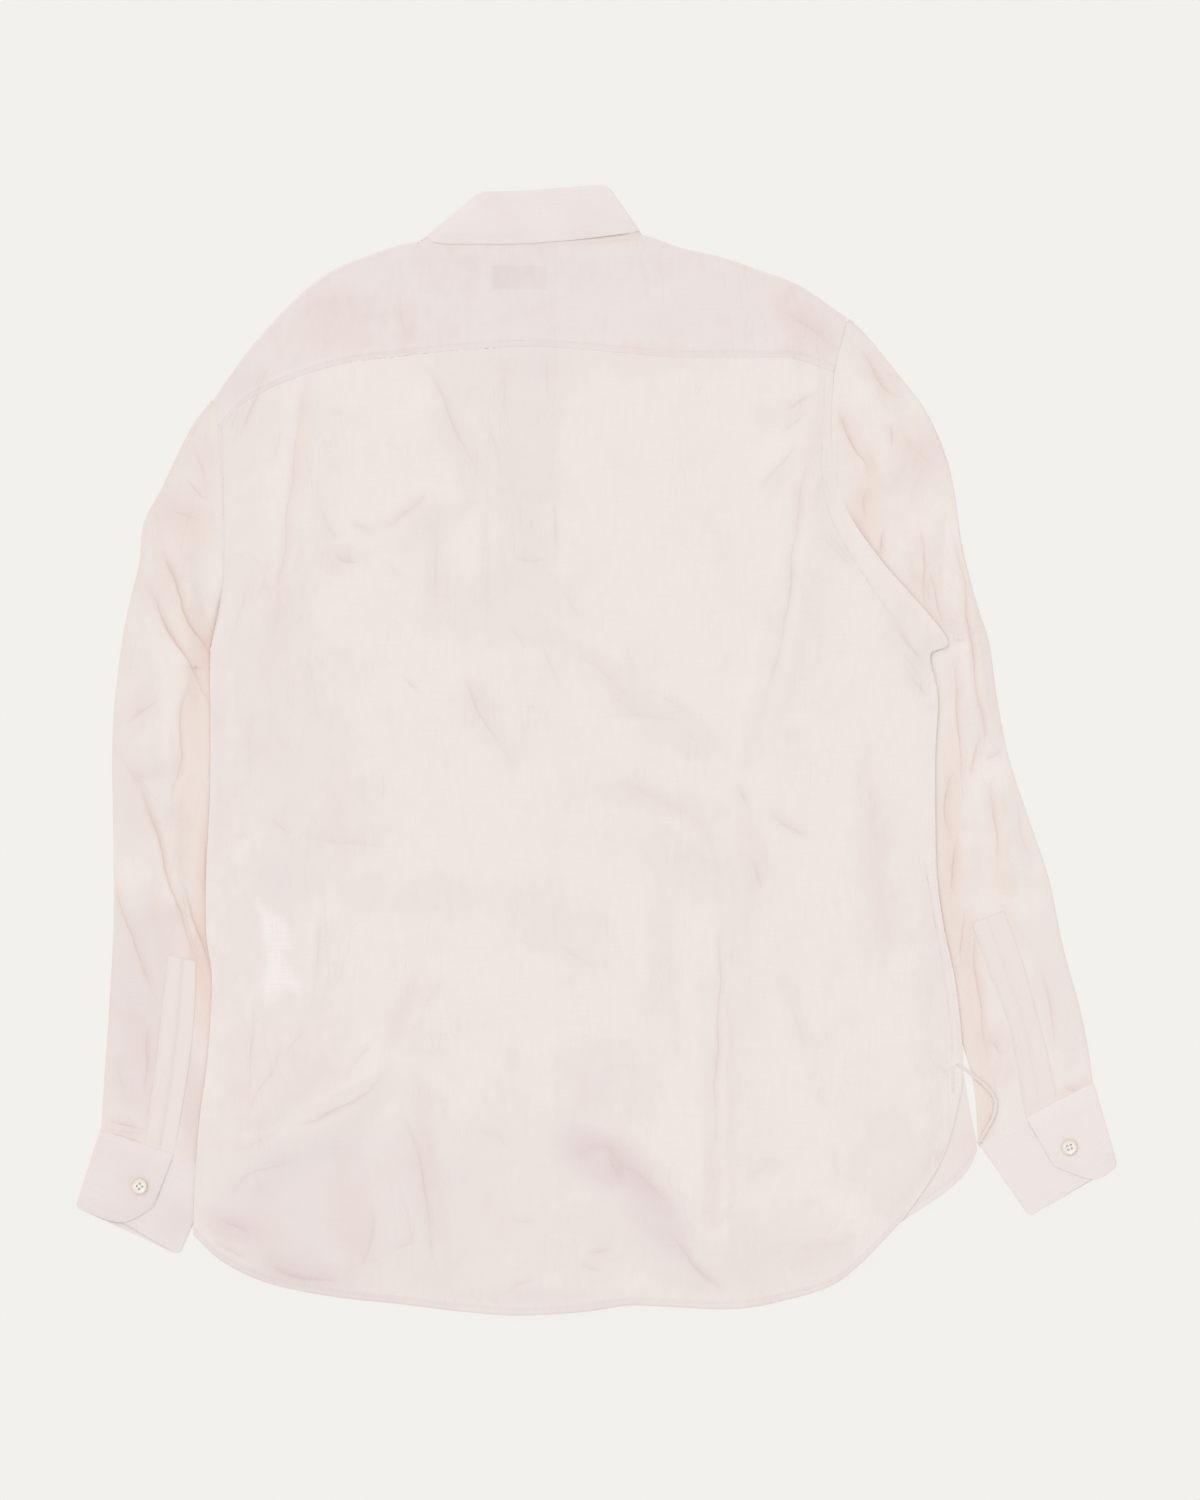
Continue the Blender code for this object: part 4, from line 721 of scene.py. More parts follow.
def line_distance(x, y, line):
    """Signed distance from each point to a line, and how far along it the nearest point lies."""
    best = np.full(x.shape, 1e9)
    side = np.zeros(x.shape)
    along = np.zeros(x.shape)
    lengths = np.linalg.norm(np.diff(line, axis=0), axis=1)
    travelled = np.concatenate([[0.0], np.cumsum(lengths)])
    for number, length in enumerate(lengths):
        if length < 1e-9:
            continue
        ax, ay = line[number]
        ux, uy = (line[number + 1] - line[number]) / length
        t = np.clip((x - ax) * ux + (y - ay) * uy, 0.0, length)
        dx = x - ax - ux * t
        dy = y - ay - uy * t
        distance = np.hypot(dx, dy)
        nearer = distance < best
        best = np.where(nearer, distance, best)
        side = np.where(nearer, np.sign(ux * (y - ay) - uy * (x - ax)), side)
        along = np.where(nearer, travelled[number] + t, along)
    return best * side, along, travelled[-1]


def crease_field(x, y, creases):
    """Height and painted shade of the small creases, and each point's signed distance from the one
    nearest to it with that one's strength, from which the cloth's material paints a shade line
    along the fold."""
    height = np.zeros(x.shape)
    tone = np.zeros(x.shape)
    offset = np.full(x.shape, FAR)
    strength = np.zeros(x.shape)
    weight = np.zeros(x.shape)
    for number, crease in enumerate(creases):
        line = spread(on_plan(crease.line), 6.0)
        width = crease.width * CREASE_WIDTH
        low = line.min(axis=0) - 4.0 * width
        high = line.max(axis=0) + 4.0 * width
        near = (x > low[0]) & (x < high[0]) & (y > low[1]) & (y < high[1])
        if not near.any():
            continue
        aside, along, length = line_distance(x[near], y[near], line)
        ends = ease(along / (0.25 * length)) * ease((length - along) / (0.3 * length))
        ends = ends * (1.0 + 0.3 * np.sin(along / 11.0 + number * 1.7))
        aside = aside + 0.3 * width * np.sin(along / 8.0 + number)
        off = np.abs(aside) / (width * np.where(aside > 0, 1 + crease.lean, 1 - crease.lean))
        height[near] += crease.height * CREASE_HEIGHT * np.exp(-off ** 1.5) * ends
        shade = 0.45 * bell(off, 1.8) + 0.35 * bell(off, 0.7)
        tone[near] = np.maximum(tone[near], crease.tone * shade * ends)
        taper = ease(2.0 * along / length) * ease(2.0 * (length - along) / length)
        drawn = crease.tone * taper * min(1.0, (5.0 / crease.width) ** 2)
        pull = drawn * np.exp(-np.abs(aside) / 2.5)
        stronger = pull > weight[near]
        drawn = drawn * fade(np.abs(aside), 3.5, 7.0)
        for field, value in ((weight, pull), (offset, aside), (strength, drawn)):
            field[near] = np.where(stronger, value, field[near])
    return height, tone, np.dstack([offset, strength])


def crumple(x, y, size, seed):
    """Smooth uneven relief from about -1 to 1, with features of about the given size."""
    flat_x = x.ravel() / size
    flat_y = y.ravel() / size
    values = [noise.noise((a, b, seed)) for a, b in zip(flat_x.tolist(), flat_y.tolist())]
    return np.array(values).reshape(x.shape) * 1.6


def pinches(x, y, size, seed):
    """Thin broken ridges from 0 to 1, such as small wrinkles leave, mostly down the cloth."""
    lean = 0.35 * crumple(x, y, 90.0, seed + 2.0)
    ridge = 1.0 - np.abs(crumple(1.5 * x + lean * y, 0.7 * y, size, seed))
    gate = ease(crumple(x, y, 2.3 * size, seed + 9.0) * 1.6)
    return gate * ease((ridge - 0.72) / 0.28)


def small_relief(x, y, seed):
    """The uneven lie of loose silk: slow swells, small crumples and thin wrinkles."""
    slow = 0.42 * crumple(x, y, 36.0, seed) + 0.20 * crumple(x, y, 12.0, seed + 4.6)
    return slow + 0.34 * pinches(x, y, 24.0, seed + 1.3) - 0.26 * pinches(x, y, 17.0, seed + 6.1)


def patch_masks(x, y, patches, seed, blotch=1.0):
    """Mauve and warm shade from the listed patches: even inside, with ragged soft borders."""
    masks = []
    for shade, seeds in (("mauve", (seed, seed + 3.3)), ("warm", (seed + 7.7, seed + 5.5))):
        field = np.zeros(x.shape)
        for spot in patches:
            middle = on_plan([(spot.u, spot.v)])[0]
            turn = math.radians(spot.turn)
            dx = x - middle[0]
            dy = y - middle[1]
            across = (dx * math.cos(turn) + dy * math.sin(turn)) / (spot.wide * PLAN_UNIT)
            along = (dy * math.cos(turn) - dx * math.sin(turn)) / (spot.tall * PLAN_UNIT)
            cloud = getattr(spot, shade) * np.exp(-(across ** 2 + along ** 2) ** 1.4 * 0.7)
            field = np.maximum(field, cloud) + 0.25 * np.minimum(field, cloud)
        ragged = crumple(x, y, 26.0, seeds[0]) + 0.8 * crumple(1.6 * x, 0.8 * y, 9.0, seeds[1])
        inside = ease((field + 0.17 * blotch * ragged - 0.06) / 0.36)
        masks.append(np.clip(inside * (0.27 + 0.95 * np.maximum(field - 0.45, 0.0)), 0.0, 1.0))
    return masks


def body_edges(y):
    """The body's left and right edge at a height."""
    rows = np.array(LEVELS[::-1])
    return np.interp(y, rows[:, 1], rows[:, 0]), np.interp(y, rows[:, 3], rows[:, 2])


PLACKET_ROWS = spread(PLACKET_LINE, 22.0)[::-1]


def placket_middle(y):
    return np.interp(y, PLACKET_ROWS[:, 0], PLACKET_ROWS[:, 1])


def side_share(x, y, lead):
    """How fully a point lies over a sleeve: 1 below an underarm, 0 along the armholes."""
    left = ease((LEFT_COVER + lead + COVER_BLEND - y) / COVER_BLEND)
    right = ease((RIGHT_COVER + lead + COVER_BLEND - y) / COVER_BLEND)
    return np.where(x < 0.0, left, right)


def edge_distance(x, y):
    left, right = body_edges(y)
    return np.minimum(x - left, right - x)


HEM_ROWS = spread(COLUMNS, FINE)


def hem_distance(x, y):
    """Height of a point above the back's hem."""
    return y - np.interp(x, HEM_ROWS[:, 4], HEM_ROWS[:, 5])


def back_rest(x, y):
    """Underside of the back and yoke: over the fronts, low at the armholes and the hem."""
    inside = edge_distance(x, y)
    edge = LAYER + SIDE_REST * side_share(x, y, SIDE_LEAD)
    rest = edge + (BACK_REST - edge) * ease(inside / 45.0)
    over_placket = fade(np.abs(x - placket_middle(y)), 48.0, 95.0)
    hem_rest = LAYER + (BACK_REST - LAYER) * over_placket
    lowered = fade(hem_distance(x, y), 8.0, 60.0) * ease((inside - 40.0) / 36.0)
    return rest + (hem_rest - rest) * lowered


def wing_distance(x, y):
    """Distance outside the quarter under which a collar wing lies."""
    return np.maximum(np.maximum(np.abs(x - NECK_MIDDLE) - 80.0, 270.0 - y), 0.0)


def front_rest(x, y, inner_rest, inner_flat):
    """Underside of a front: on the floor, over a sleeve at its side, raised at neck and placket."""
    beside = SIDE_REST * side_share(x, y, 0.0) * fade(edge_distance(x, y), 21.0, 36.0)
    at_neck = inner_rest * fade(wing_distance(x, y), 28.0, 62.0)
    from_placket = np.abs(x - placket_middle(y))
    at_placket = inner_rest * fade(from_placket, inner_flat, inner_flat + 36.0)
    return np.maximum(np.maximum(beside, at_neck), at_placket)


def back_slack(x, y):
    """How far a trough in the back may sink before it meets what lies below."""
    inside = edge_distance(x, y)
    clear_placket = ease((np.abs(x - placket_middle(y)) - 50.0) / 42.0)
    sides = ease((inside - 24.0) / 26.0)
    tall = 3.4 * clear_placket * sides * ease((hem_distance(x, y) - 14.0) / 44.0)
    return 0.4 + tall


def sink(height, slack):
    """Heights with their troughs held back softly at the given depth."""
    return np.where(height < 0.0, -slack * np.tanh(-height / np.maximum(slack, 0.05)), height)


def sleeve_clear(x, y):
    """Where a sleeve's upper wall is free to fold: neither body nor placket lies on it."""
    left = x < 0.0
    outside = -edge_distance(x, y)
    armhole = np.where(left, y > 60.0, y > 80.0)
    clear = np.where(armhole, ease((outside - 3.0) / 22.0), ease((outside - 8.0) / 16.0))
    slit = np.where(left, fade(np.abs(x + 305.0), 30.0, 48.0), fade(np.abs(x - 302.0), 38.0, 60.0))
    start = np.where(left, -112.0, -82.0)
    return clear * (1.0 - slit * ease((start - y) / 25.0))


# ---- meshes -------------------------------------------------------------------------------------
# One loose part of a mesh: points in millimetres, smooth and flat faces, and for each point its
# grain, its painted shade and light, and its fold line.
Part = namedtuple("Part", "points smooth flat grain tint fold")


def linked(name, data):
    """A new object in the scene."""
    made = bpy.data.objects.new(name, data)
    bpy.context.scene.collection.objects.link(made)
    return made


def build(name, parts, material):
    """One object from parts."""
    points = np.concatenate([part.points for part in parts]) * MM
    start = 0
    faces = []
    smooth = []
    for part in parts:
        for group, is_smooth in ((part.smooth, True), (part.flat, False)):
            for block in group:
                faces.append(np.asarray(block, np.int64) + start)
                smooth.append(np.full(len(block), is_smooth))
        start += len(part.points)
    sizes = np.concatenate([np.full(len(block), block.shape[1], np.int32) for block in faces])
    corners = np.concatenate([block.ravel() for block in faces]).astype(np.int32)
    mesh = bpy.data.meshes.new(name)
    mesh.vertices.add(len(points))
    mesh.vertices.foreach_set("co", points.astype(np.float32).ravel())
    mesh.loops.add(len(corners))
    mesh.loops.foreach_set("vertex_index", corners)
    mesh.polygons.add(len(sizes))
    starts = np.concatenate([[0], np.cumsum(sizes)[:-1]]).astype(np.int32)
    mesh.polygons.foreach_set("loop_start", starts)
    mesh.update(calc_edges=True)
    mesh.polygons.foreach_set("use_smooth", np.concatenate(smooth))
    grain, tint, fold = (np.concatenate([getattr(part, key) for part in parts])
                         for key in ("grain", "tint", "fold"))
    for key, kind, field, values in (
            ("grain", "FLOAT_VECTOR", "vector", grain),
            ("tint", "FLOAT_COLOR", "color", np.clip(tint, 0.0, 1.0)),
            ("fold", "FLOAT_VECTOR", "vector", np.pad(fold, ((0, 0), (0, 1))))):
        layer = mesh.attributes.new(key, kind, "POINT")
        layer.data.foreach_set(field, values.astype(np.float32).ravel())
    mesh.materials.append(material)
    return linked(name, mesh)


def painted_shades(shape, warm=0.0, mauve=0.0, light=0.0, dim=0.0):
    """The four masks of a grid, stacked: painted warm shade, mauve shade, light and dim shade."""
    masks = [np.broadcast_to(mask, shape) for mask in (warm, mauve, light, dim)]
    return np.dstack(masks).astype(float)


def no_fold(shape):
    return np.dstack([np.full(shape, FAR), np.zeros(shape)])


def plan_grain(middle):
    return np.dstack([middle[:, :, :2], np.zeros(middle.shape[:2])])


def travelled_grain(middle):
    """Distance along and across a grid that turns over, as the cloth's own two directions."""
    down, across = (np.linalg.norm(np.diff(middle, axis=axis), axis=2).mean(axis=1 - axis)
                    for axis in (0, 1))
    down = np.concatenate([[0.0], np.cumsum(down)])
    across = np.concatenate([[0.0], np.cumsum(across)])
    return np.dstack([*np.meshgrid(across, down), np.zeros(middle.shape[:2])])


def bordered(grid):
    """A grid with one more row and column close inside each border, so that smooth shading turns
    over to the rim there and not across a whole cell."""
    for axis in (0, 1):
        grid = np.swapaxes(grid, 0, axis)
        first = grid[:1] + 0.04 * (grid[1:2] - grid[:1])
        last = grid[-1:] + 0.04 * (grid[-2:-1] - grid[-1:])
        grid = np.swapaxes(np.concatenate([grid[:1], first, grid[1:-1], last, grid[-1:]]), 0, axis)
    return grid


def quads(rows, columns):
    """The corners of a grid's cells."""
    start = np.arange(rows - 1)[:, None] * columns + np.arange(columns - 1)[None, :]
    return start.reshape(-1, 1) + np.array([0, columns, columns + 1, 1])


def shell(middle, tint=None, grain=None, keep=None, wall=SILK_WALL, fold=None):
    """A thin closed shell to both sides of a grid of points; keep leaves out cells."""
    shape = middle.shape[:2]
    normal = np.cross(np.gradient(middle, axis=0), np.gradient(middle, axis=1))
    normal = normal / np.maximum(np.linalg.norm(normal, axis=2), 1e-9)[:, :, None]
    thick = np.broadcast_to(np.asarray(wall, float), shape)[:, :, None]
    tint = painted_shades(shape) if tint is None else tint
    grain = plan_grain(middle) if grain is None else grain
    fold = no_fold(shape) if fold is None else fold
    middle, normal, thick, tint, grain, fold = (
        bordered(grid) for grid in (middle, normal, thick, tint, grain, fold))
    rows, columns = middle.shape[:2]
    count = rows * columns
    top = quads(rows, columns)
    if keep is not None:
        top = top[np.pad(keep, 1, mode="edge").ravel()]
    first = top.T.ravel()
    second = np.roll(top, -1, axis=1).T.ravel()
    lone = ~np.isin(first * count + second, second * count + first)
    rim = np.column_stack([second[lone], first[lone], first[lone] + count, second[lone] + count])
    half = normal * thick / 2
    points = np.concatenate([middle + half, middle - half]).reshape(-1, 3)
    tint, grain, fold = (np.concatenate([grid.reshape(count, -1)] * 2)
                         for grid in (tint, grain, fold))
    faces = [top, top[:, ::-1] + count, rim]
    used = np.unique(np.concatenate(faces))
    place = np.zeros(2 * count, np.int64)
    place[used] = np.arange(len(used))
    faces = [place[block] for block in faces]
    return Part(points[used], faces[:2], faces[2:], grain[used], tint[used], fold[used])


def lined(top, tint, fold, wall=SILK_WALL):
    """A closed sheet with fine upper points and a plain underside of LINING times fewer rows."""
    rows, columns = top.shape[:2]
    low = top[::LINING, ::LINING].copy()
    level = top[:, :, 2]
    for shift in (-2, 2):
        for axis in (0, 1):
            level = np.minimum(level, np.roll(level, shift, axis=axis))
    low[1:-1, 1:-1, 2] = level[::LINING, ::LINING][1:-1, 1:-1]
    low[:, :, 2] -= wall
    low_rows, low_columns = low.shape[:2]
    first = rows * columns
    lower = quads(low_rows, low_columns)[:, ::-1] + first
    fine = np.arange(first).reshape(rows, columns)
    coarse = np.arange(low_rows * low_columns).reshape(low_rows, low_columns) + first
    rim = []
    for above, below in ((fine[:, 0], coarse[:, 0]), (fine[-1], coarse[-1]),
                         (fine[::-1, -1], coarse[::-1, -1]), (fine[0, ::-1], coarse[0, ::-1])):
        for number in range(len(below) - 1):
            a, b = below[number:number + 2]
            u = above[LINING * number:LINING * (number + 1) + 1]
            rim += [(u[0], a, u[1]), (u[1], a, u[2]), (u[2], a, b)]
            rim += [(u[2], b, u[3]), (u[3], b, u[4])]
    points = np.concatenate([top.reshape(-1, 3), low.reshape(-1, 3)])
    grain = np.concatenate([plan_grain(side).reshape(-1, 3) for side in (top, low)])
    tint, fold = (np.concatenate([grid.reshape(first, -1),
                                  grid[::LINING, ::LINING].reshape(low_rows * low_columns, -1)])
                  for grid in (tint, fold))
    return Part(points, [quads(rows, columns), lower], [np.array(rim)], grain, tint, fold)


ROLL = ((0.24, 0.10), (0.44, 0.32), (0.52, 0.64), (0.42, 1.0))


def roll_end(top, drop):
    """A grid with four rows added past its last one, turned down by the given drop."""
    out = unit(top[-1, :, :2] - top[-2, :, :2])
    edge = top[-1].copy()
    edge[:, :2] -= out * ROLL[2][0]
    rows = [edge]
    for reach, fall in ROLL:
        row = edge.copy()
        row[:, :2] += out * reach
        row[:, 2] -= drop * fall
        rows.append(row)
    return np.concatenate([top[:-1], np.array(rows)])


def tube(line, wide, tall, tint, sides=10):
    """A closed tube with an oval section along a line."""
    line = np.asarray(line, float)
    ahead = unit(np.gradient(line, axis=0))
    aside = unit(np.cross(ahead, (0.0, 0.0, 1.0)))
    above = np.cross(aside, ahead)
    angle = np.linspace(0.0, 2 * math.pi, sides, endpoint=False)
    ring = aside[:, None] * (np.cos(angle) * wide / 2)[None, :, None]
    ring = ring + above[:, None] * (np.sin(angle) * tall / 2)[None, :, None]
    points = (line[:, None] + ring).reshape(-1, 3)
    count = len(line)
    start = np.arange(count - 1)[:, None] * sides
    this = np.arange(sides)[None, :]
    following = (this + 1) % sides
    faces = np.dstack([start + this, start + following, start + sides + following,
                       start + sides + this]).reshape(-1, 4)
    ends = np.array([np.arange(sides)[::-1], (count - 1) * sides + np.arange(sides)])
    around, along = np.meshgrid(angle * wide / 3, travelled(line))
    grain = np.dstack([along, around, np.zeros((count, sides))]).reshape(-1, 3)
    return Part(points, [faces], [ends], grain, np.tile(tint, (len(points), 1)),
                np.tile((FAR, 0.0), (len(points), 1)))


def stitch_parts(lines, pitch=2.9, long=2.1, wide=0.42, tall=0.16):
    """Raised stitches along lines of points that lie on the cloth's upper face."""
    angle = np.radians([-25.0, 35.0, 90.0, 145.0, 205.0])
    points = []
    for line in lines:
        reached = travelled(line)
        for number in range(int(reached[-1] / pitch)):
            at = (number + 0.5) * pitch + long * np.array([-0.5, -0.3, 0.3, 0.5])
            spine = np.column_stack([np.interp(at, reached, line[:, k]) for k in range(3)])
            ahead = spine[3] - spine[0]
            size = np.linalg.norm(ahead)
            if size < 1e-6:
                continue
            aside = np.cross(ahead / size, (0.0, 0.0, 1.0))
            ring = aside[None, :] * (np.cos(angle) * wide / 2)[:, None]
            ring[:, 2] += np.sin(angle) * tall
            points += [spine[:1], spine[1] + ring, spine[2] + ring, spine[3:]]
    points = np.concatenate(points)
    start = np.arange(0, len(points), 12)[:, None]
    ring = np.arange(5)
    following = (ring + 1) % 5
    near = np.dstack([start + 0 * ring, start + 1 + following, start + 1 + ring]).reshape(-1, 3)
    far = np.dstack([start + 11 + 0 * ring, start + 6 + ring, start + 6 + following]).reshape(-1, 3)
    sides = np.dstack([start + 1 + ring, start + 1 + following, start + 6 + following,
                       start + 6 + ring]).reshape(-1, 4)
    return Part(points, [near, far, sides], [], points.copy(), np.zeros((len(points), 4)),
                np.zeros((len(points), 2)))


def inset_line(grid, distance):
    """Points on a grid at a distance in from its last row, one for each column."""
    line = []
    for column in np.swapaxes(grid[::-1], 0, 1):
        reached = travelled(column)
        line.append([np.interp(distance, reached, column[:, k]) for k in range(3)])
    return np.array(line)


# ---- materials ----------------------------------------------------------------------------------
def feed(tree, made, inputs):
    """Set a node's inputs; each is a value or another node's output."""
    for key, value in inputs.items():
        if isinstance(value, bpy.types.NodeSocket):
            tree.links.new(value, made.inputs[key])
        else:
            made.inputs[key].default_value = value


def node(tree, kind, inputs=None, **settings):
    """Add a shader node and feed it."""
    made = tree.nodes.new(kind)
    for key, value in settings.items():
        setattr(made, key, value)
    feed(tree, made, inputs or {})
    return made


def scaled_noise(tree, vector, scale, detail, roughness=0.5):
    """Noise over a vector stretched by the given scale."""
    mapped = node(tree, "ShaderNodeMapping", {"Vector": vector, "Scale": scale}).outputs["Vector"]
    made = node(tree, "ShaderNodeTexNoise", {"Vector": mapped, "Scale": 1.0, "Detail": detail,
                                             "Roughness": roughness})
    return made.outputs["Fac"]


def math_node(tree, operation, first, second):
    return node(tree, "ShaderNodeMath", {0: first, 1: second}, operation=operation).outputs[0]


def ranged(tree, value, low, high, to_low, to_high):
    made = node(tree, "ShaderNodeMapRange", {"Value": value, "From Min": low, "From Max": high,
                                             "To Min": to_low, "To Max": to_high})
    return made.outputs["Result"]


def mixed(tree, share, first, second, blend="MIX"):
    """Two colours mixed; each is three numbers or another node's output."""
    first, second = ((*side, 1.0) if isinstance(side, tuple) else side for side in (first, second))
    return node(tree, "ShaderNodeMix", {0: share, 6: first, 7: second}, data_type="RGBA",
                blend_type=blend).outputs[2]


def bumped(tree, *layers):
    """One bump on another, each from a height with its strength and its depth in metres."""
    normal = {}
    for height, strength, distance in layers:
        made = node(tree, "ShaderNodeBump", {"Height": height, "Strength": strength,
                                             "Distance": distance, **normal})
        normal = {"Normal": made.outputs["Normal"]}
    return normal["Normal"]


def new_material(name):
    material = bpy.data.materials.new(name)
    material.use_nodes = True
    tree = material.node_tree
    return material, tree, tree.nodes["Principled BSDF"]


# What full painted shade does to a cloth's colour, and the painted light where the care label
# shows through the silk.
MAUVE_SHADE = (0.902, 0.863, 0.902)
WARM_SHADE = (0.970, 0.862, 0.814)
DIM_SHADE = (0.86, 0.845, 0.86)
SHOW_THROUGH_LIGHT = (0.905, 0.860, 0.845)


def silk(name, pale, deep, roughness=0.5, streak=0.022, fold_shade=(0.87, 0.82, 0.83)):
    """Silk: drawn threads both ways, clouds of colour, masks of painted shade and light, painted
    shade lines along folds and fine wrinkles that are also bumped, weave and small crumples."""
    material, tree, shader = new_material(name)

    def times(first, second):
        return math_node(tree, "MULTIPLY", first, second)

    def shaded(colour, share, shade):
        return mixed(tree, share, colour, shade, "MULTIPLY")

    grain = node(tree, "ShaderNodeAttribute", attribute_name="grain").outputs["Vector"]
    tint = node(tree, "ShaderNodeAttribute", attribute_name="tint").outputs
    warm, mauve, light = node(tree, "ShaderNodeSeparateColor", {"Color": tint["Color"]}).outputs
    warp = scaled_noise(tree, grain, (1.3, 0.035, 1.0), 2.0)
    weft = scaled_noise(tree, grain, (0.03, 1.1, 1.0), 2.0)
    cloud = scaled_noise(tree, grain, (0.020, 0.014, 1.0), 4.0, 0.6)
    crumb = scaled_noise(tree, grain, (0.14, 0.10, 1.0), 4.0, 0.55)
    threads = math_node(tree, "ADD", warp, weft)
    drawn = ranged(tree, threads, 0.7, 1.3, 0.72, 1.28)
    colour = mixed(tree, ranged(tree, cloud, 0.38, 0.62, 0.0, 1.0), pale, deep)
    grey = ranged(tree, threads, 0.7, 1.3, 1.0 - streak, 1.0 + streak / 3)
    grey = node(tree, "ShaderNodeCombineColor", {0: grey, 1: grey, 2: grey}).outputs[0]
    colour = shaded(colour, 1.0, grey)
    # Painted shade from the masks: mauve where layers lie below, warm in folds, dim over hidden
    # parts.
    colour = shaded(colour, times(mauve, drawn), MAUVE_SHADE)
    colour = shaded(colour, times(warm, drawn), WARM_SHADE)
    colour = shaded(colour, tint["Alpha"], DIM_SHADE)

    # A painted shade line along each fold, from the point's distance to it and its strength; the
    # same line is sunk in the bump below.
    fold = node(tree, "ShaderNodeAttribute", attribute_name="fold").outputs["Vector"]
    fold = node(tree, "ShaderNodeSeparateXYZ", {"Vector": fold}).outputs
    off = math_node(tree, "ADD", fold[0], ranged(tree, crumb, 0.3, 0.7, -0.5, 0.5))
    core = math_node(tree, "EXPONENT", times(times(off, off), -2.6), 0.0)
    falling = math_node(tree, "EXPONENT", times(off, -0.45), 0.0)
    beside = times(ranged(tree, off, -0.2, 0.5, 0.0, 0.5), falling)
    line = times(fold[1], math_node(tree, "MAXIMUM", core, beside))
    colour = shaded(colour, line, fold_shade)
    # Fine wrinkles as thin painted shade lines, also sunk a little in the bump.
    web = scaled_noise(tree, grain, (0.075, 0.016, 1.0), 2.0, 0.5)
    gate = scaled_noise(tree, grain, (0.022, 0.016, 1.0), 1.0)
    away = math_node(tree, "ABSOLUTE", math_node(tree, "SUBTRACT", web, 0.5), 0.0)
    wrinkle = times(ranged(tree, away, 0.0, 0.012, 1.0, 0.0),
                    ranged(tree, gate, 0.46, 0.62, 0.0, 1.0))
    colour = shaded(colour, times(wrinkle, 0.16), fold_shade)
    # Painted light where the care label shows through, streaked along the threads.
    streaked = times(light, ranged(tree, threads, 0.8, 1.2, 0.55, 1.45))
    colour = mixed(tree, streaked, colour, SHOW_THROUGH_LIGHT)

    weave = [node(tree, "ShaderNodeTexWave", {"Vector": grain, "Scale": 0.62, "Distortion": 0.6},
                  wave_type="BANDS", bands_direction=way).outputs["Fac"] for way in ("X", "Y")]
    sunk = times(math_node(tree, "ADD", line, times(wrinkle, 0.4)), -1.0)
    feed(tree, shader, {
        "Base Color": colour,
        "Roughness": ranged(tree, threads, 0.7, 1.3, roughness - 0.07, roughness + 0.09),
        "Normal": bumped(tree, (crumb, 0.55, 0.0008), (sunk, 0.6, 0.0003),
                         (threads, 0.4, 0.00014), (times(*weave), 0.25, 0.00004)),
        "Sheen Weight": 0.12, "Sheen Roughness": 0.4, "Specular IOR Level": 0.3})
    return material


def thread(name, colour):
    """Sewing thread with a twist along it."""
    material, tree, shader = new_material(name)
    place = node(tree, "ShaderNodeTexCoord").outputs["Object"]
    twist = node(tree, "ShaderNodeTexWave", {"Vector": place, "Scale": 900.0, "Distortion": 1.0},
                 wave_type="BANDS", bands_direction="DIAGONAL").outputs["Fac"]
    feed(tree, shader, {
        "Base Color": mixed(tree, twist, colour, tuple(0.93 * part for part in colour)),
        "Roughness": ranged(tree, twist, 0.0, 1.0, 0.4, 0.52),
        "Normal": bumped(tree, (twist, 0.4, 0.00005)), "Sheen Weight": 0.15})
    return material


def mother_of_pearl(name):
    """Polished shell: pale growth bands, a browner skin left at the rim, a clear polish."""
    material, tree, shader = new_material(name)
    place = node(tree, "ShaderNodeTexCoord").outputs["Object"]
    bands = node(tree, "ShaderNodeTexWave", {"Vector": place, "Scale": 60.0, "Distortion": 7.0,
                                             "Detail": 3.0, "Detail Scale": 2.0},
                 wave_type="BANDS", bands_direction="DIAGONAL").outputs["Fac"]
    cloud = scaled_noise(tree, place, (260.0, 260.0, 260.0), 3.0)
    radius = node(tree, "ShaderNodeVectorMath", {0: place}, operation="LENGTH").outputs["Value"]
    colour = mixed(tree, bands, (0.93, 0.90, 0.84), (0.86, 0.80, 0.70))
    colour = mixed(tree, ranged(tree, cloud, 0.4, 0.7, 0.0, 0.5), colour, (0.90, 0.90, 0.84))
    skin = math_node(tree, "MULTIPLY", ranged(tree, radius, 0.0044, 0.0056, 0.0, 0.8),
                     ranged(tree, cloud, 0.3, 0.6, 0.3, 1.0))
    feed(tree, shader, {
        "Base Color": mixed(tree, skin, colour, (0.70, 0.54, 0.36)),
        "Roughness": ranged(tree, cloud, 0.3, 0.7, 0.16, 0.3),
        "Normal": bumped(tree, (bands, 0.15, 0.0001)), "Coat Weight": 0.6, "Coat Roughness": 0.08})
    return material


# One silk in copies. The yoke's is darker and pinker, painted shade of the layers below it; the
# cuff copy, on the left cuff only, is darker, painted shade.
SILK_BODY = silk("silk_body", (0.850, 0.781, 0.742), (0.845, 0.770, 0.734))
SILK_YOKE = silk("silk_yoke", (0.825, 0.744, 0.722), (0.814, 0.732, 0.708))
SILK_SLEEVE = silk("silk_sleeve", (0.852, 0.782, 0.742), (0.848, 0.768, 0.722),
                   fold_shade=(0.90, 0.80, 0.75))
SILK_COLLAR = silk("silk_collar", (0.848, 0.772, 0.752), (0.842, 0.764, 0.742), roughness=0.52)
SILK_CUFF = silk("silk_cuff", (0.838, 0.760, 0.736), (0.822, 0.738, 0.717))
LABEL_TAPE = silk("label_tape", (0.88, 0.87, 0.86), (0.86, 0.85, 0.84), roughness=0.4, streak=0.04)
THREAD = thread("sewing_thread", (0.86, 0.785, 0.755))
BUTTON_THREAD = thread("button_thread", (0.86, 0.83, 0.78))
PEARL = mother_of_pearl("mother_of_pearl")

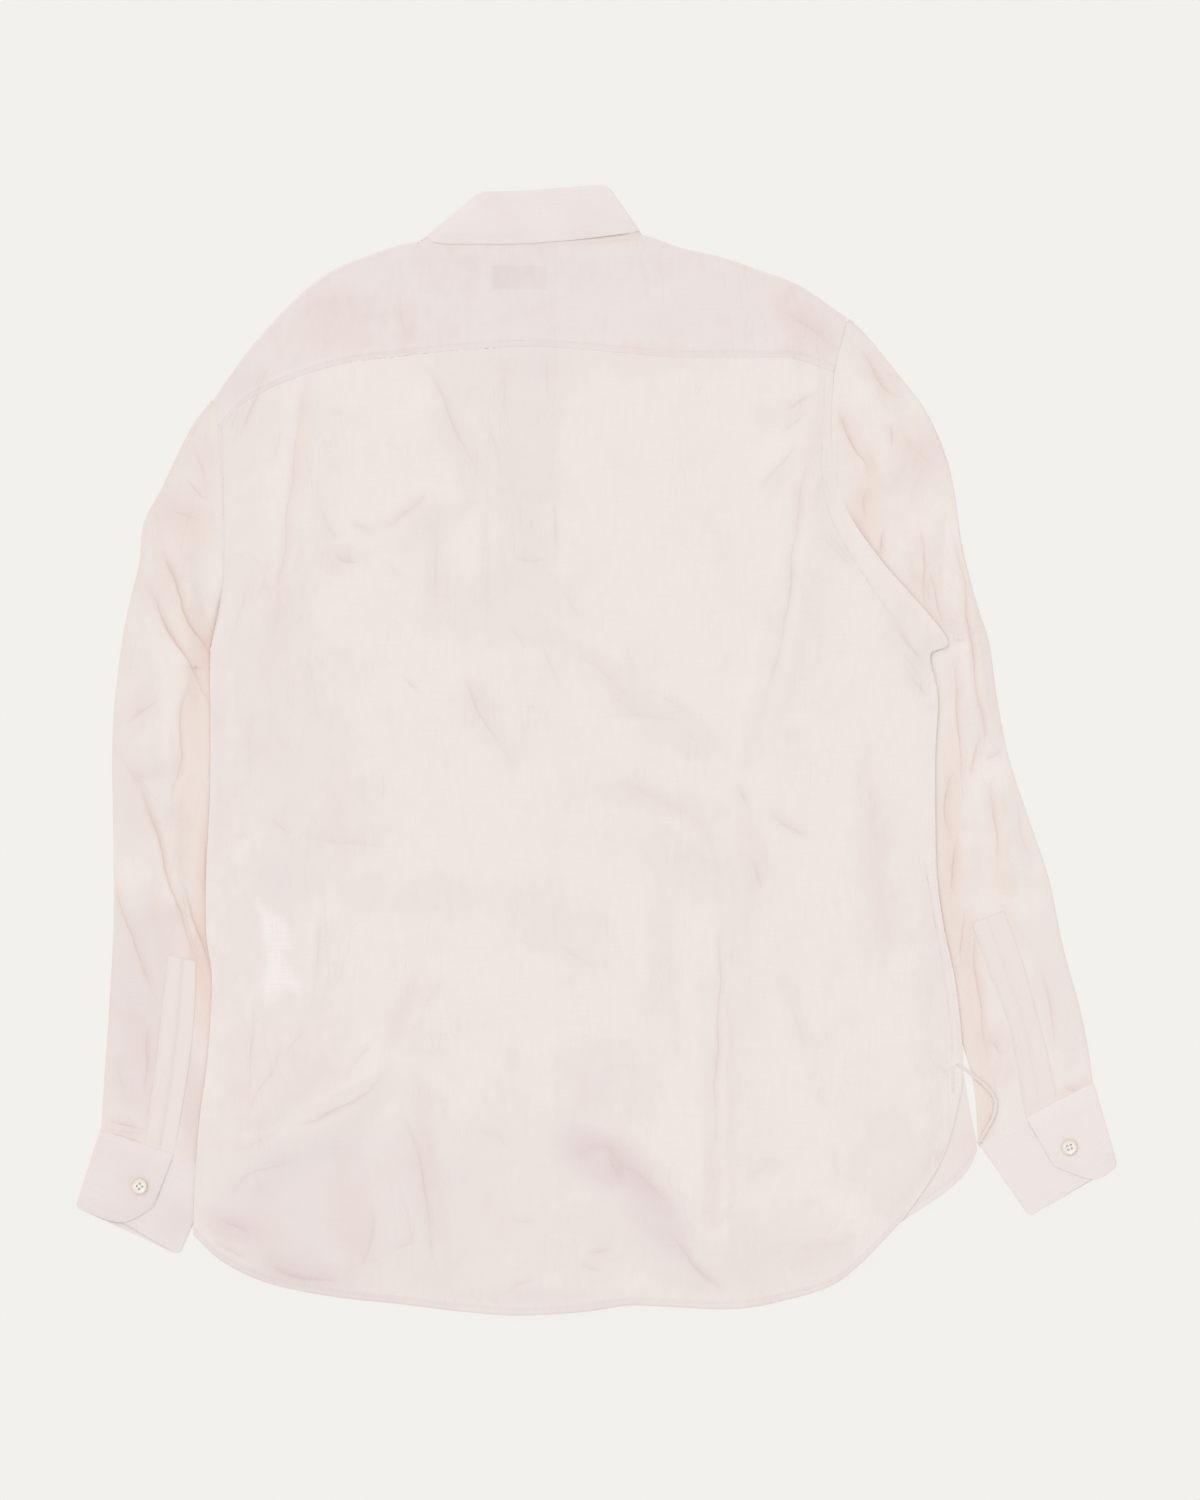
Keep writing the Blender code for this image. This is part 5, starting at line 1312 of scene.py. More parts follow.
BODY_SLOT = "silk"
SLEEVE_SLOT = "silk_sleeves"


def finish_piece(made, slot, *nodes):
    """Ride on the one body and stand for the named solids; the slot is not used."""
    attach(made, "root")
    if nodes:
        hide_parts(*nodes)


def sew(name, lines, slot=BODY_SLOT, **sizes):
    finish_piece(build(name, [stitch_parts(lines, **sizes)], THREAD), slot)


# ---- the back -----------------------------------------------------------------------------------
BACK_TOP = CLOTH * 0.75
SIDE_DRAW = 1.4        # how far the back comes down to its side edges over the sleeves
HEM_WIDTH = 5.0
# The second line of stitches of each felled armhole, and the twin lines beside the right side seam.
LEFT_FELL = [(220, 404), (222, 436), (223, 500), (224, 552), (221, 600), (214, 640)]
RIGHT_FELL = [(826, 372), (824, 396), (822, 440), (822, 478), (829, 514), (849, 552), (872, 588),
              (895, 622), (913, 646)]
SIDE_TWIN = [(924, 860), (936, 930), (946, 990), (951, 1030), (952, 1062)]
# Each line with the side of it on which its allowance lies: outwards, to armhole or side seam.
SEAM_LINES = ((LEFT_FELL, -1.0), (RIGHT_FELL, 1.0), (SIDE_TWIN, 1.0))
VENT_TACK = [(952.5, 1066), (953.5, 1092)]
# Outline of the painted light where the care label shows through the back.
CARE_LIGHT = [(258, 903), (274, 912), (287, 922), (292, 948), (284, 952), (290, 968), (302, 982),
              (300, 992), (284, 988), (276, 1000), (266, 1003), (262, 984), (266, 950)]


def inside_outline(x, y, line, soft):
    """1 inside a closed outline, falling to 0 across its soft edge."""
    points = on_plan(line)
    closed = np.vstack([points, points[:1]])
    aside, _, _ = line_distance(x, y, closed)
    inside = np.zeros(x.shape, bool)
    for (ax, ay), (bx, by) in zip(closed[:-1], closed[1:]):
        crosses = (ay > y) != (by > y)
        at = ax + (y - ay) / np.where(crosses, by - ay, 1.0) * (bx - ax)
        inside ^= crosses & (x < at)
    return ease(0.5 + np.where(inside, 1.0, -1.0) * np.abs(aside) / soft)


def show_through(x, y):
    """How far the placket, its seams and the neck label darken the cloth above them: painted shade
    where they show through.
    """
    aside = x - placket_middle(y)
    dim = 0.07 * ease((PLACKET_FLAT - np.abs(aside)) / 5.0)
    for offset in (-PLACKET_WIDTH / 2 - 3.0, PLACKET_WIDTH / 2 + 3.0):
        dim = np.maximum(dim, 0.16 * bell(aside - offset, 1.5))
    dim = dim * ease((hem_distance(x, y) - 10.0) / 40.0) * (0.6 + 0.4 * ease((y - 120.0) / 60.0))
    left, right, low, high = NECK_LABEL
    label = ease((x - left) / 2.2) * ease((right - x) / 2.2)
    label = label * ease((y - low) / 2.2) * ease((high - y) / 2.2)
    return np.maximum(dim, 0.36 * label)


def back_top(x, y):
    """Upper face of the back, with the painted shade and the painted shade lines of its creases and
    seams.
    """
    inside = edge_distance(x, y)
    hem = hem_distance(x, y)
    creases, tone, fold = crease_field(x, y, BACK_CREASES)
    relief = sink(creases + small_relief(x, y, seed=3.1), back_slack(x, y))
    height = back_rest(x, y) + BACK_TOP + fold_height(x, y, BACK_FOLDS) * ease(inside / 30.0)
    height = height + relief * (0.2 + 0.8 * ease(inside / 9.0)) * (0.4 + 0.6 * ease(hem / 12.0))
    height = height + 0.4 * fade(hem, HEM_WIDTH - 0.6, HEM_WIDTH + 0.9)
    over = side_share(x, y, SIDE_LEAD)
    height = height - SIDE_DRAW * over * fade(inside, 0.5, 17.0)
    height = height - 0.12 * (1 - over) * fade(inside, 0.5, 7.0)
    for line, side in SEAM_LINES:
        aside, along, length = line_distance(x, y, spread(on_plan(line), 7.0))
        ends = ease(along / 12.0) * ease((length - along) / 12.0)
        groove = bell(aside, 1.5)
        allowance = ease((9.0 - np.abs(aside)) / 4.0) * (aside * side > 0)
        height = height + (0.22 * allowance - 0.28 * groove) * ends
        # Painted shade and a painted shade line along each seam.
        tone = np.maximum(tone, 0.10 * bell(aside, 1.4) * ends)
        nearer = np.abs(aside) < np.minimum(np.abs(fold[:, :, 0]), 4.0)
        fold[:, :, 0] = np.where(nearer, aside, fold[:, :, 0])
        fold[:, :, 1] = np.where(nearer, 0.26 * ends, fold[:, :, 1])
    return height, 0.7 * tone, fold * np.array([1.0, 0.85])


def make_back():
    grid = patch(even_rows(LEVELS, FINE), even_rows(COLUMNS, FINE)[:, 2:])
    height, _, _ = back_top(*plane(grid))
    top = np.dstack([grid, height])
    for _ in ("right", "left"):
        # The side edge that is last turns down, and then the other one is last.
        over = side_share(*plane(top[:, -1]), SIDE_LEAD)
        top = np.swapaxes(roll_end(np.swapaxes(top, 0, 1), 0.12 + 0.75 * over), 0, 1)[:, ::-1]
    top = roll_end(top, np.full(top.shape[1], 0.9))
    x, y = plane(top)
    _, tone, fold = back_top(x, y)
    mauve, warm = patch_masks(x, y, BODY_PATCHES, seed=11.0)
    hem = hem_distance(x, y)
    # Painted shade at the hem's stitch line and rolled edge, and along the side edges, most at the
    # right armhole where the back lies over the sleeve; painted light over the care label.
    line = 0.35 * bell(hem - HEM_WIDTH, 1.0) + 0.25 * fade(hem, 4.0, 7.0)
    beside = np.exp(-np.maximum(edge_distance(x, y), 0.0))
    armhole = ease((y - 186.0) / 18.0) * (x > 0)
    rim = 0.85 * np.exp(-np.maximum(hem, 0.0) / 0.9) + (0.12 + 0.8 * armhole) * beside
    tint = painted_shades(x.shape, warm=np.maximum(0.65 * warm, 0.55 * tone) + 0.4 * rim,
                 mauve=np.maximum(mauve, 0.35 * tone) + line,
                 light=0.55 * inside_outline(x, y, CARE_LIGHT, 9.0),
                 dim=show_through(x, y) + 0.25 * tone + 0.3 * rim)
    made = build("back_cloth", [lined(top, tint, fold)], SILK_BODY)
    finish_piece(made, BODY_SLOT, "back")
    seams = [on_back(spread(on_plan(seam), 2.0)) for seam, _ in SEAM_LINES]
    sew("back_stitches", [inset_line(top[:-4], HEM_WIDTH)[6:-6], *seams])
    sew("side_seam_stitches", [on_back(spread(on_plan(SIDE_TWIN), 2.0) + np.array([4.6, -0.6]))])
    start, end = on_plan(VENT_TACK)
    bars = []
    for share in np.linspace(0.0, 1.0, 22):
        spot = start + (end - start) * share
        bars.append(on_back(np.array([spot - (1.7, 0.1), spot + (1.7, 0.1)])))
    sew("vent_tack", bars, pitch=3.0, long=2.9, wide=0.4, tall=0.12)


def on_back(line):
    """Points of a plan line laid on the back's upper face."""
    height, _, _ = back_top(*plane(line[None]))
    return np.column_stack([line, height[0]])


# ---- the yoke -----------------------------------------------------------------------------------
YOKE_LAP = 1.1         # how far it reaches over its seam
YOKE_EDGE = 0.06       # how thick it is at its lower edge
YOKE_STITCH = 4.6      # from that edge to its line of stitches
YOKE_TURNS = 8         # rows of points round the shoulder's fold, and down from there
YOKE_ROWS = 41
YOKE_UNDER = (1.0, 0.75, 0.5, 0.25)    # shares of its reach where rows lie under the shoulder
NECK_UNDER = 3.2       # how far it goes on under the collar
NECK_BLEND = 70.0      # from the neck to where it is turned in square to the fold
UNDER_COLLAR = (-122.0, 36.0)          # x of the ends of the painted shade line under the collar


def yoke_lip_heights(x):
    """Height of the part of the yoke that is turned under, on the left front and the right one."""
    left = PLACKET_REST * ease((x + 250.0) / 90.0)
    right = OVERLAP_REST * ease((160.0 - x) / 90.0)
    return CLOTH / 2 + np.where(x < NECK_MIDDLE, left, right)


def walls(to_end):
    """The yoke thins out to its lower edge, where it is sewn on to the back."""
    return YOKE_EDGE + (SILK_WALL - YOKE_EDGE) * ease(to_end / 4.5)


def make_yoke():
    """One cloth from under the shoulders round their fold and down to the seam on the back."""
    columns = even_rows(COLUMNS, FINE)
    shoulder = columns[:, :2]
    seam = columns[:, 2:4]
    first, last = (int(np.argmin(np.abs(shoulder[:, 0] - COLUMNS[end].shoulder_x))) for end in NECK)
    down = unit(seam - shoulder)
    slope = np.gradient(shoulder, axis=0)
    square = unit(np.column_stack([slope[:, 1], -slope[:, 0]]))
    from_neck = np.maximum(shoulder[first, 0] - shoulder[:, 0], shoulder[:, 0] - shoulder[last, 0])
    turned = np.clip(from_neck / NECK_BLEND, 0.0, 1.0)[:, None]
    inward = unit(square * turned + down * (1 - turned))
    lip = yoke_lip_heights(shoulder[:, 0])
    top = back_rest(*plane(shoulder)) + CLOTH / 2
    radius = np.maximum((top - lip) / 2, CLOTH / 2 + 0.1)
    rows = []
    for share in YOKE_UNDER:
        rows.append(np.column_stack([shoulder + inward * (YOKE_REACH * share), lip]))
    for angle in math.pi * np.arange(YOKE_TURNS) / YOKE_TURNS:
        reach = radius + CLOTH / 2 - radius * math.sin(angle)
        plan = shoulder + inward * reach[:, None]
        rows.append(np.column_stack([plan, (top + lip) / 2 - (top - lip) / 2 * math.cos(angle)]))
    folded = len(rows)
    under = shoulder - down * (NECK_UNDER * ease(-from_neck / 7.0))[:, None]
    start = shoulder + inward * (radius + CLOTH / 2)[:, None]
    start = np.where(from_neck[:, None] < 0.0, under, start)
    end = seam + down * YOKE_LAP
    share = np.linspace(0.0, 1.0, YOKE_ROWS)[:, None]
    plan = start + (end - start) * share[:, :, None]
    depth = np.linalg.norm(end - start, axis=1)
    to_end = depth * (1 - share)
    x, y = plane(plan)
    creases, _, _ = crease_field(x, y, YOKE_CREASES)
    relief = sink(creases + 0.7 * small_relief(x, y, seed=5.3), 0.5)
    height = back_rest(x, y) + 0.6 + relief * ease(8.0 * share) * ease(to_end / 6.0)
    below, _, _ = back_top(x, y)
    covered = YOKE_EDGE + 0.36 * ease(to_end / 5.5) - walls(to_end) / 2
    height = height + (below + covered - height) * fade(to_end, 2.0 + YOKE_LAP, 9.0 + YOKE_LAP)
    height[0] = top
    middle = np.concatenate([rows, np.dstack([plan, height])])
    x, y = plane(middle)
    keep = np.ones((len(middle) - 1, len(columns) - 1), bool)
    keep[:folded, first:last] = False
    _, tone, fold = crease_field(x, y, YOKE_CREASES)
    mauve, warm = patch_masks(x, y, YOKE_PATCHES, seed=21.0)
    upper = (np.arange(len(middle)) >= folded)[:, None]
    hidden = np.full((folded, len(columns)), 50.0)
    to_end = np.vstack([hidden, to_end])
    outer = np.vstack([hidden, depth * share])
    # Painted shade along the stitches and the seam edge, along the upper edge, and a warm line
    # under the collar.
    line = 0.16 * bell(to_end - YOKE_STITCH, 1.0) + 0.12 * bell(to_end, 0.8)
    fold[:, :, 1] *= 0.5 * upper
    rim = 0.3 * np.exp(-outer / 1.6)
    neck_line = np.exp(-np.abs(outer - NECK_UNDER) / 1.3)
    neck_line = np.where(outer < NECK_UNDER, 0.6, 1.0) * neck_line
    left, right = UNDER_COLLAR
    under_collar = neck_line * ease((x - left) / 12.0) * ease((right - x) / 6.0) * (
        0.12 + 0.88 * ease((x + 30.0) / 30.0))
    warm = np.maximum(warm, 0.55 * tone) + 0.4 * rim + 1.1 * under_collar
    tint = painted_shades(x.shape, warm=warm * upper, mauve=(np.maximum(mauve, 0.3 * tone) + line) * upper,
                 dim=(show_through(x, y) + 0.15 * tone + 0.1 * line + 0.1 * rim) * upper)
    made = build("yoke_cloth", [shell(middle, tint, keep=keep, wall=walls(to_end), fold=fold)],
                 SILK_YOKE)
    finish_piece(made, BODY_SLOT, "yoke")
    line = inset_line(middle, YOKE_STITCH)
    line[:, 2] += SILK_WALL / 2
    sew("yoke_stitches", [line])


# ---- the fronts ---------------------------------------------------------------------------------
TAIL_CORNER = (205.0, -222.0)          # beyond this corner the right front shows at the vent
VENT_CROOK = (268.0, -284.0)           # and gets its strongest painted warm shade here
HEM_STITCH = 5.2       # from the hem to its line of stitches
HEM_STITCH_X = 222.0   # the stitches are sewn from this x outwards
HEM_LOOP_SIZE = (2.7, 1.2)             # across and in height
# Painted warm, mauve and dim shade of the hem loop.
HEM_LOOP_SHADE = (0.30, 0.25, 0.0, 0.04)
PLACKET_WALL = 0.9     # two layers of silk
PLACKET_GRID = (140, 8)                # rows and columns of points


def front_grid(outer, edges, inner_shift, placket_first):
    """A front's plan between its side line and its placket line, which is first on the right."""
    outer = spread(outer, FRONT_STEP)
    ends = spread(edges, FRONT_STEP)
    inner_end = 0 if placket_first else -1
    _, top, _, bottom = ends[inner_end]
    inner_y = top + (bottom - top) * shares(outer)
    inner = np.column_stack([placket_middle(inner_y) + inner_shift, inner_y])
    ends[inner_end] = (*inner[0], *inner[-1])
    return patch(np.hstack([inner, outer] if placket_first else [outer, inner]), ends)


def front_middle(grid, rest, seed):
    """The middle of a front's cloth with soft creases and its rolled hem, and its painted crease
    shade with uneven mauve clouds.
    """
    x, y = plane(grid)
    hem = np.linalg.norm(grid - grid[-1][None, :, :], axis=2)
    inside = edge_distance(x, y)
    ridges, tone, fold = crease_field(x, y, FRONT_CREASES)
    lift = ridges * np.clip(1.0 - rest / 3.4, 0.0, 1.0)
    lift = (0.55 * np.maximum(small_relief(x, y, seed), 0.0) + lift) * ease(hem / 14.0)
    drawn = 0.65 * side_share(x, y, 0.0) * fade(inside, 2.0, 14.0)
    drawn = drawn * np.minimum(rest / SIDE_REST, 1.0)
    tint = painted_shades(x.shape, warm=0.5 * tone, dim=0.2 * tone,
                 mauve=0.3 * tone + 0.25 * np.clip(crumple(x, y, 60.0, seed + 2.0), 0.0, 1.0))
    height = rest + 0.5 + lift * ease(inside / 24.0) - drawn + 0.35 * fade(hem, 4.2, 5.6)
    middle = np.dstack([grid, height])
    return middle, hem, tint, fold


def make_fronts():
    """The two fronts, the loop of hem at the right vent and the placket."""
    side = [(level.left_x + SEAM_STEP, level.left_y) for level in LEVELS[1:-1]]
    outer = [LEFT_FRONT[0][:2], *side, LEFT_FRONT[0][2:]]
    grid = front_grid(outer, LEFT_FRONT, -PLACKET_WIDTH / 2 - SEAM_STEP / 2, False)
    rest = front_rest(*plane(grid), PLACKET_REST, PLACKET_FLAT)
    middle, _, tint, fold = front_middle(grid, rest, seed=31.0)
    made = build("front_left_cloth", [shell(middle, tint, fold=fold)], SILK_BODY)
    finish_piece(made, BODY_SLOT, "front_left")

    side = [(level.right_x - SEAM_STEP, level.right_y) for level in LEVELS[1:11]]
    grid = front_grid([RIGHT_FRONT[-1][:2], *side, *RIGHT_TAIL], RIGHT_FRONT, -FRONT_OVERLAP, True)
    rest = front_rest(*plane(grid), OVERLAP_REST, PLACKET_FLAT + 20.0)
    middle, hem, hidden, fold = front_middle(grid, rest, seed=37.0)
    x, y = plane(middle)
    # Painted shade on the tail that shows at the vent: warm in its crook, and along the hem's edge
    # and stitch line.
    tail = ease((x - TAIL_CORNER[0]) / 20.0) * ease((TAIL_CORNER[1] - y) / 10.0)
    crook = np.exp(-(((x - VENT_CROOK[0]) / 16.0) ** 2 + ((y - VENT_CROOK[1]) / 20.0) ** 2))
    rim = 0.6 * np.exp(-hem / 0.9) + 0.6 * bell(hem - 5.4, 1.0)
    tint = painted_shades(x.shape, warm=tail * (0.3 * crook + 0.15 * rim), mauve=tail * (0.14 + 0.3 * rim),
                 dim=tail * 0.10 * rim) + hidden * (1 - tail)[:, :, None]
    loop = spread(HEM_LOOP, 2.0)
    share = np.linspace(0.0, 1.0, len(loop))
    level = 4.0 - 0.8 * ease(share / 0.25) - 0.3 * ease((share - 0.78) / 0.22)
    strip = tube(np.column_stack([loop, level]), *HEM_LOOP_SIZE, HEM_LOOP_SHADE)
    made = build("front_right_cloth", [shell(middle, tint, fold=fold), strip], SILK_BODY)
    finish_piece(made, BODY_SLOT, "front_right")
    line = inset_line(middle, HEM_STITCH)
    line[:, 2] += SILK_WALL / 2
    sew("front_hem_stitches", [line[line[:, 0] > HEM_STITCH_X][:-2]])

    rows, columns = PLACKET_GRID
    heights = np.linspace(PLACKET_LINE[0].y - PLACKET_BELOW_NECK, PLACKET_LINE[-1].y, rows)
    offsets = np.linspace(-0.5, 0.5, columns) * PLACKET_WIDTH
    x = placket_middle(heights)[:, None] + offsets[None, :]
    y = np.repeat(heights[:, None], len(offsets), axis=1)
    middle = np.dstack([x, y, np.full(x.shape, PLACKET_REST + 0.6)])
    made = build("placket_cloth", [shell(middle, wall=PLACKET_WALL)], SILK_BODY)
    finish_piece(made, BODY_SLOT, "front_placket")


# ---- sleeves ------------------------------------------------------------------------------------
SLEEVE_COLUMNS = (26, 64)              # lines of points across the lower wall and the upper one
TURN_STEPS = 4         # steps of the half turn at each long edge
TURN_REACH = 0.9       # how far the turn bulges out
INTO_CUFF = np.array([[1.2], [2.4]])   # lines added past the last ring, inside the cuff
JOIN_LEVELS = (104.0, 158.0)           # y at which the left and the right sleeve join the body


def between(start, stop, count):
    """Plan points across from one line to another, and each column's share of the way."""
    share = np.linspace(0.0, 1.0, count)[None, :]
    plan = start[:, None] + (stop - start)[:, None] * share[:, :, None]
    return plan, *plane(plan), share


def make_sleeve(name, rings, underarm, folds, creases, patches, seed, replaced):
    """A sleeve as one cloth turned at its outer edge, its two long edges meeting under the body."""
    lines = spread(rings, SLEEVE_FINE)
    corner = np.array(rings[underarm][2:])
    closing = int(np.argmin(np.linalg.norm(lines[:, 2:] - corner, axis=1)))
    ahead = (lines[-1] - lines[-2]) / np.linalg.norm(lines[-1, :2] - lines[-2, :2])
    lines = np.vstack([lines, lines[-1] + ahead * INTO_CUFF])
    outer = lines[:, :2]
    inner = lines[:, 2:]
    toward = unit(inner - outer)
    width = np.linalg.norm(inner - outer, axis=1)[:, None]
    closed = ease((np.arange(len(lines)) - closing) / 5.0 + 1.0)[:, None]
    join_level = np.where(inner[:, 0] < 0, *JOIN_LEVELS)
    joined = ease((inner[:, 1] - join_level) / 24.0)[:, None]
    start = outer + toward * 1.3
    stop = inner + toward * (1.4 - 2.5 * closed)

    plan, x, y, share = between(start, stop, SLEEVE_COLUMNS[0])
    trough = np.clip(-crease_field(x, y, creases)[0], 0.0, 0.9)
    lift = 0.35 * np.maximum(crumple(x, y, 26.0, seed + 9.0), 0.0)
    lift = lift + 0.4 * trough * ease(share / 0.2) * ease((1 - share) / 0.2)
    lower = np.dstack([plan, SLEEVE_FLOOR + lift])

    plan, x, y, share = between(start, stop, SLEEVE_COLUMNS[1])
    clear = sleeve_clear(x, y)
    folding = fold_height(x, y, folds) * clear
    relief = 1.25 * crease_field(x, y, creases)[0] + 1.1 * small_relief(x, y, seed)
    height = LAYER + 0.6 + folding + sink(relief, 0.45 + folding) * np.maximum(clear, 0.12)
    to_inner = width * (1 - share)
    tucked = (1 - closed) * fade(to_inner, 0.6, 4.5)
    height = np.maximum(height, LAYER + 0.35) - (0.6 - 0.5 * joined) * tucked
    raised = (SIDE_REST - SIDE_DRAW + 0.12) * side_share(x, y, SIDE_LEAD)
    upper = np.dstack([plan, height + raised * joined * fade(to_inner, 2.0, 16.0)])

    step = np.arange(1, TURN_STEPS)[None, :]
    angle = math.pi * step / TURN_STEPS
    half = (1 - np.cos(angle)) / 2
    bulge = TURN_REACH * np.sin(angle)
    turn = np.dstack([start[:, None] - toward[:, None] * bulge[:, :, None],
                      SLEEVE_FLOOR + (upper[:, :1, 2] - SLEEVE_FLOOR) * half])
    out = 0.15 * step * (1 - closed) + bulge * closed
    edge = upper[:, -1:, 2]
    fall = 0.06 * step * (1 - closed) + (edge - 0.75) * half * closed
    inner_turn = np.dstack([stop[:, None] + toward[:, None] * out[:, :, None], edge - fall])
    middle = np.concatenate([lower[:, ::-1], turn, upper, inner_turn], axis=1)
    is_upper = np.arange(middle.shape[1]) >= lower.shape[1] + 2
    if outer[0, 0] > 0:
        middle = middle[:, ::-1]
        is_upper = is_upper[::-1]

    x, y = plane(middle)
    # Painted shade from the creases and patches, less on the lower wall; more along the edge that
    # goes under the body and along the outer turned edge.
    _, tone, fold = crease_field(x, y, creases)
    shown = np.where(is_upper, 1.0, 0.6)
    fold[:, :, 1] *= 1.3 * shown
    mauve, warm = patch_masks(x, y, patches, seed + 20.0, blotch=0.8)
    beside = np.abs(edge_distance(x, y))
    depth = np.where(closed > 0.5, 0.32, 0.5 - 0.42 * joined)
    under_edge = np.exp(-(beside / 1.6) ** 1.2) * depth + 0.3 * depth * np.exp(-beside / 7.0)
    rim = np.exp(-np.linalg.norm(middle[:, :, :2] - outer[:, None, :], axis=2) / 1.8)
    under_edge = under_edge * is_upper
    rim = 0.2 * rim * is_upper
    tint = painted_shades(x.shape, warm=np.maximum(warm, 0.6 * tone) * shown + 0.9 * under_edge + rim,
                 mauve=np.maximum(mauve, 0.2 * tone) * shown + rim,
                 dim=0.15 * tone * shown + 0.5 * under_edge)
    made = build(name, [shell(middle, tint, grain=travelled_grain(middle), fold=fold)], SILK_SLEEVE)
    finish_piece(made, SLEEVE_SLOT, replaced)


# ---- bands: collar and cuffs --------------------------------------------------------------------
FOLD_STEP = 22.0       # between the lines that say where a fold turns
FOLD_RADIUS = 1.0      # at most
FOLD_BACK = 0.35       # how far inside its line a fold stays
NEAR_FOLD = (3.2, 2.4, 1.75)           # where closer lines lie beside a fold


def fold_lines(plan, height, next_height, steps=8):
    """Half a turn about the line that ends a leg."""
    end = plan[-1]
    fold = end[2:] - end[:2]
    out = np.array([fold[1], -fold[0]]) / np.linalg.norm(fold)
    ahead = end - plan[-2]
    if np.dot(out, ahead[:2] + ahead[2:]) < 0:
        out = -out
    radius = min(abs(next_height - height) / 2, FOLD_RADIUS)
    middle = (next_height + height) / 2
    lines = []
    for angle in math.pi * np.arange(steps + 1) / steps:
        reach = radius * math.sin(angle) - radius - FOLD_BACK
        level = middle + (height - middle) * math.cos(angle)
        lines.append((end[:2] + out * reach, end[2:] + out * reach, level))
    return lines


def corner_inset(distance, radius):
    """How far a rounded corner draws in the long edge at a distance from its end."""
    off = np.clip(radius - distance, 0.0, radius)
    return radius - np.sqrt(np.maximum(radius ** 2 - off ** 2, 0.0))


def closing_in(plan):
    """A leg's lines with closer ones toward its last, which a turned fold replaces."""
    last = plan[-1]
    move = plan[-3] - last
    line = (last[2:] - last[:2]) / np.linalg.norm(last[2:] - last[:2])
    middle = (move[:2] + move[2:]) / 2
    clear = abs(line[0] * middle[1] - line[1] * middle[0])
    near = [last + move * (reach / clear) for reach in NEAR_FOLD if reach < 0.9 * clear]
    return np.vstack([plan[:-2], *near])


def wrapped_band(legs, share, corners, top_leg, lap):
    """The middle of a band folded flat with rounded corners, and for each of its lines how far it
    lies up on the top leg and how far it is from a fold."""
    lines = []
    leg_of = []
    up = []
    from_fold = []
    for number, (rows, height) in enumerate(legs):
        rows = np.array(rows)
        plan = spread(rows, BAND_STEP)
        turning = []
        if number < len(legs) - 1:
            turning = fold_lines(spread(rows, FOLD_STEP), height, legs[number + 1][1])
            plan = closing_in(plan)
        if number > 0:
            plan = closing_in(plan[::-1])[::-1]
        lines += [(row[:2], row[2:], height) for row in plan] + turning
        leg_of += [number] * (len(plan) + len(turning))
        up += [float(number == top_leg)] * len(plan)
        if turning and top_leg in (number, number + 1):
            high = legs[top_leg][1]
            low = legs[2 * number + 1 - top_leg][1]
            up += [(level - low) / (high - low) for _, _, level in turning]
        else:
            up += [0.0] * len(turning)
        away = np.full(len(plan), 1e3)
        middles = (plan[:, :2] + plan[:, 2:]) / 2
        start, end = ((row[:2] + row[2:]) / 2 for row in (rows[0], rows[-1]))
        if number < len(legs) - 1:
            away = np.minimum(away, np.linalg.norm(middles - end, axis=1))
        if number > 0:
            away = np.minimum(away, np.linalg.norm(middles - start, axis=1))
        from_fold += list(away)
        from_fold += [np.linalg.norm((rim + edge) / 2 - end) for rim, edge, _ in turning]
    grid = []
    for (rim, edge, height), leg, away in zip(lines, leg_of, from_fold):
        depth = np.linalg.norm(edge - rim)
        first, last = (corner_inset(away, corner) / depth for corner in corners)
        if leg == top_leg and lap:
            reach = lap[0] + lap[1] * math.exp(-((edge[0] - lap[2]) / 12.0) ** 2)
            last -= reach / depth * min(1.0, away / 6.0)
        plan = rim + (edge - rim) * (first + (1 - first - last) * share)[:, None]
        grid.append(np.column_stack([plan, np.full(len(share), height)]))
    return np.array(grid), np.array(up)[:, None], np.array(from_fold)


BAND_SHARES = np.concatenate([[0.0, 0.008, 0.02, 0.045, 0.08], np.linspace(0.12, 0.88, 18),
                              [0.92, 0.955, 0.98, 0.992, 1.0]])
STRIP_WALL = 0.5
STRIP_SHARES = np.array([0.0, 0.02, 0.05, 0.1, 0.2, 0.35, 0.5, 0.65, 0.8, 0.9, 0.95, 0.98, 1.0])


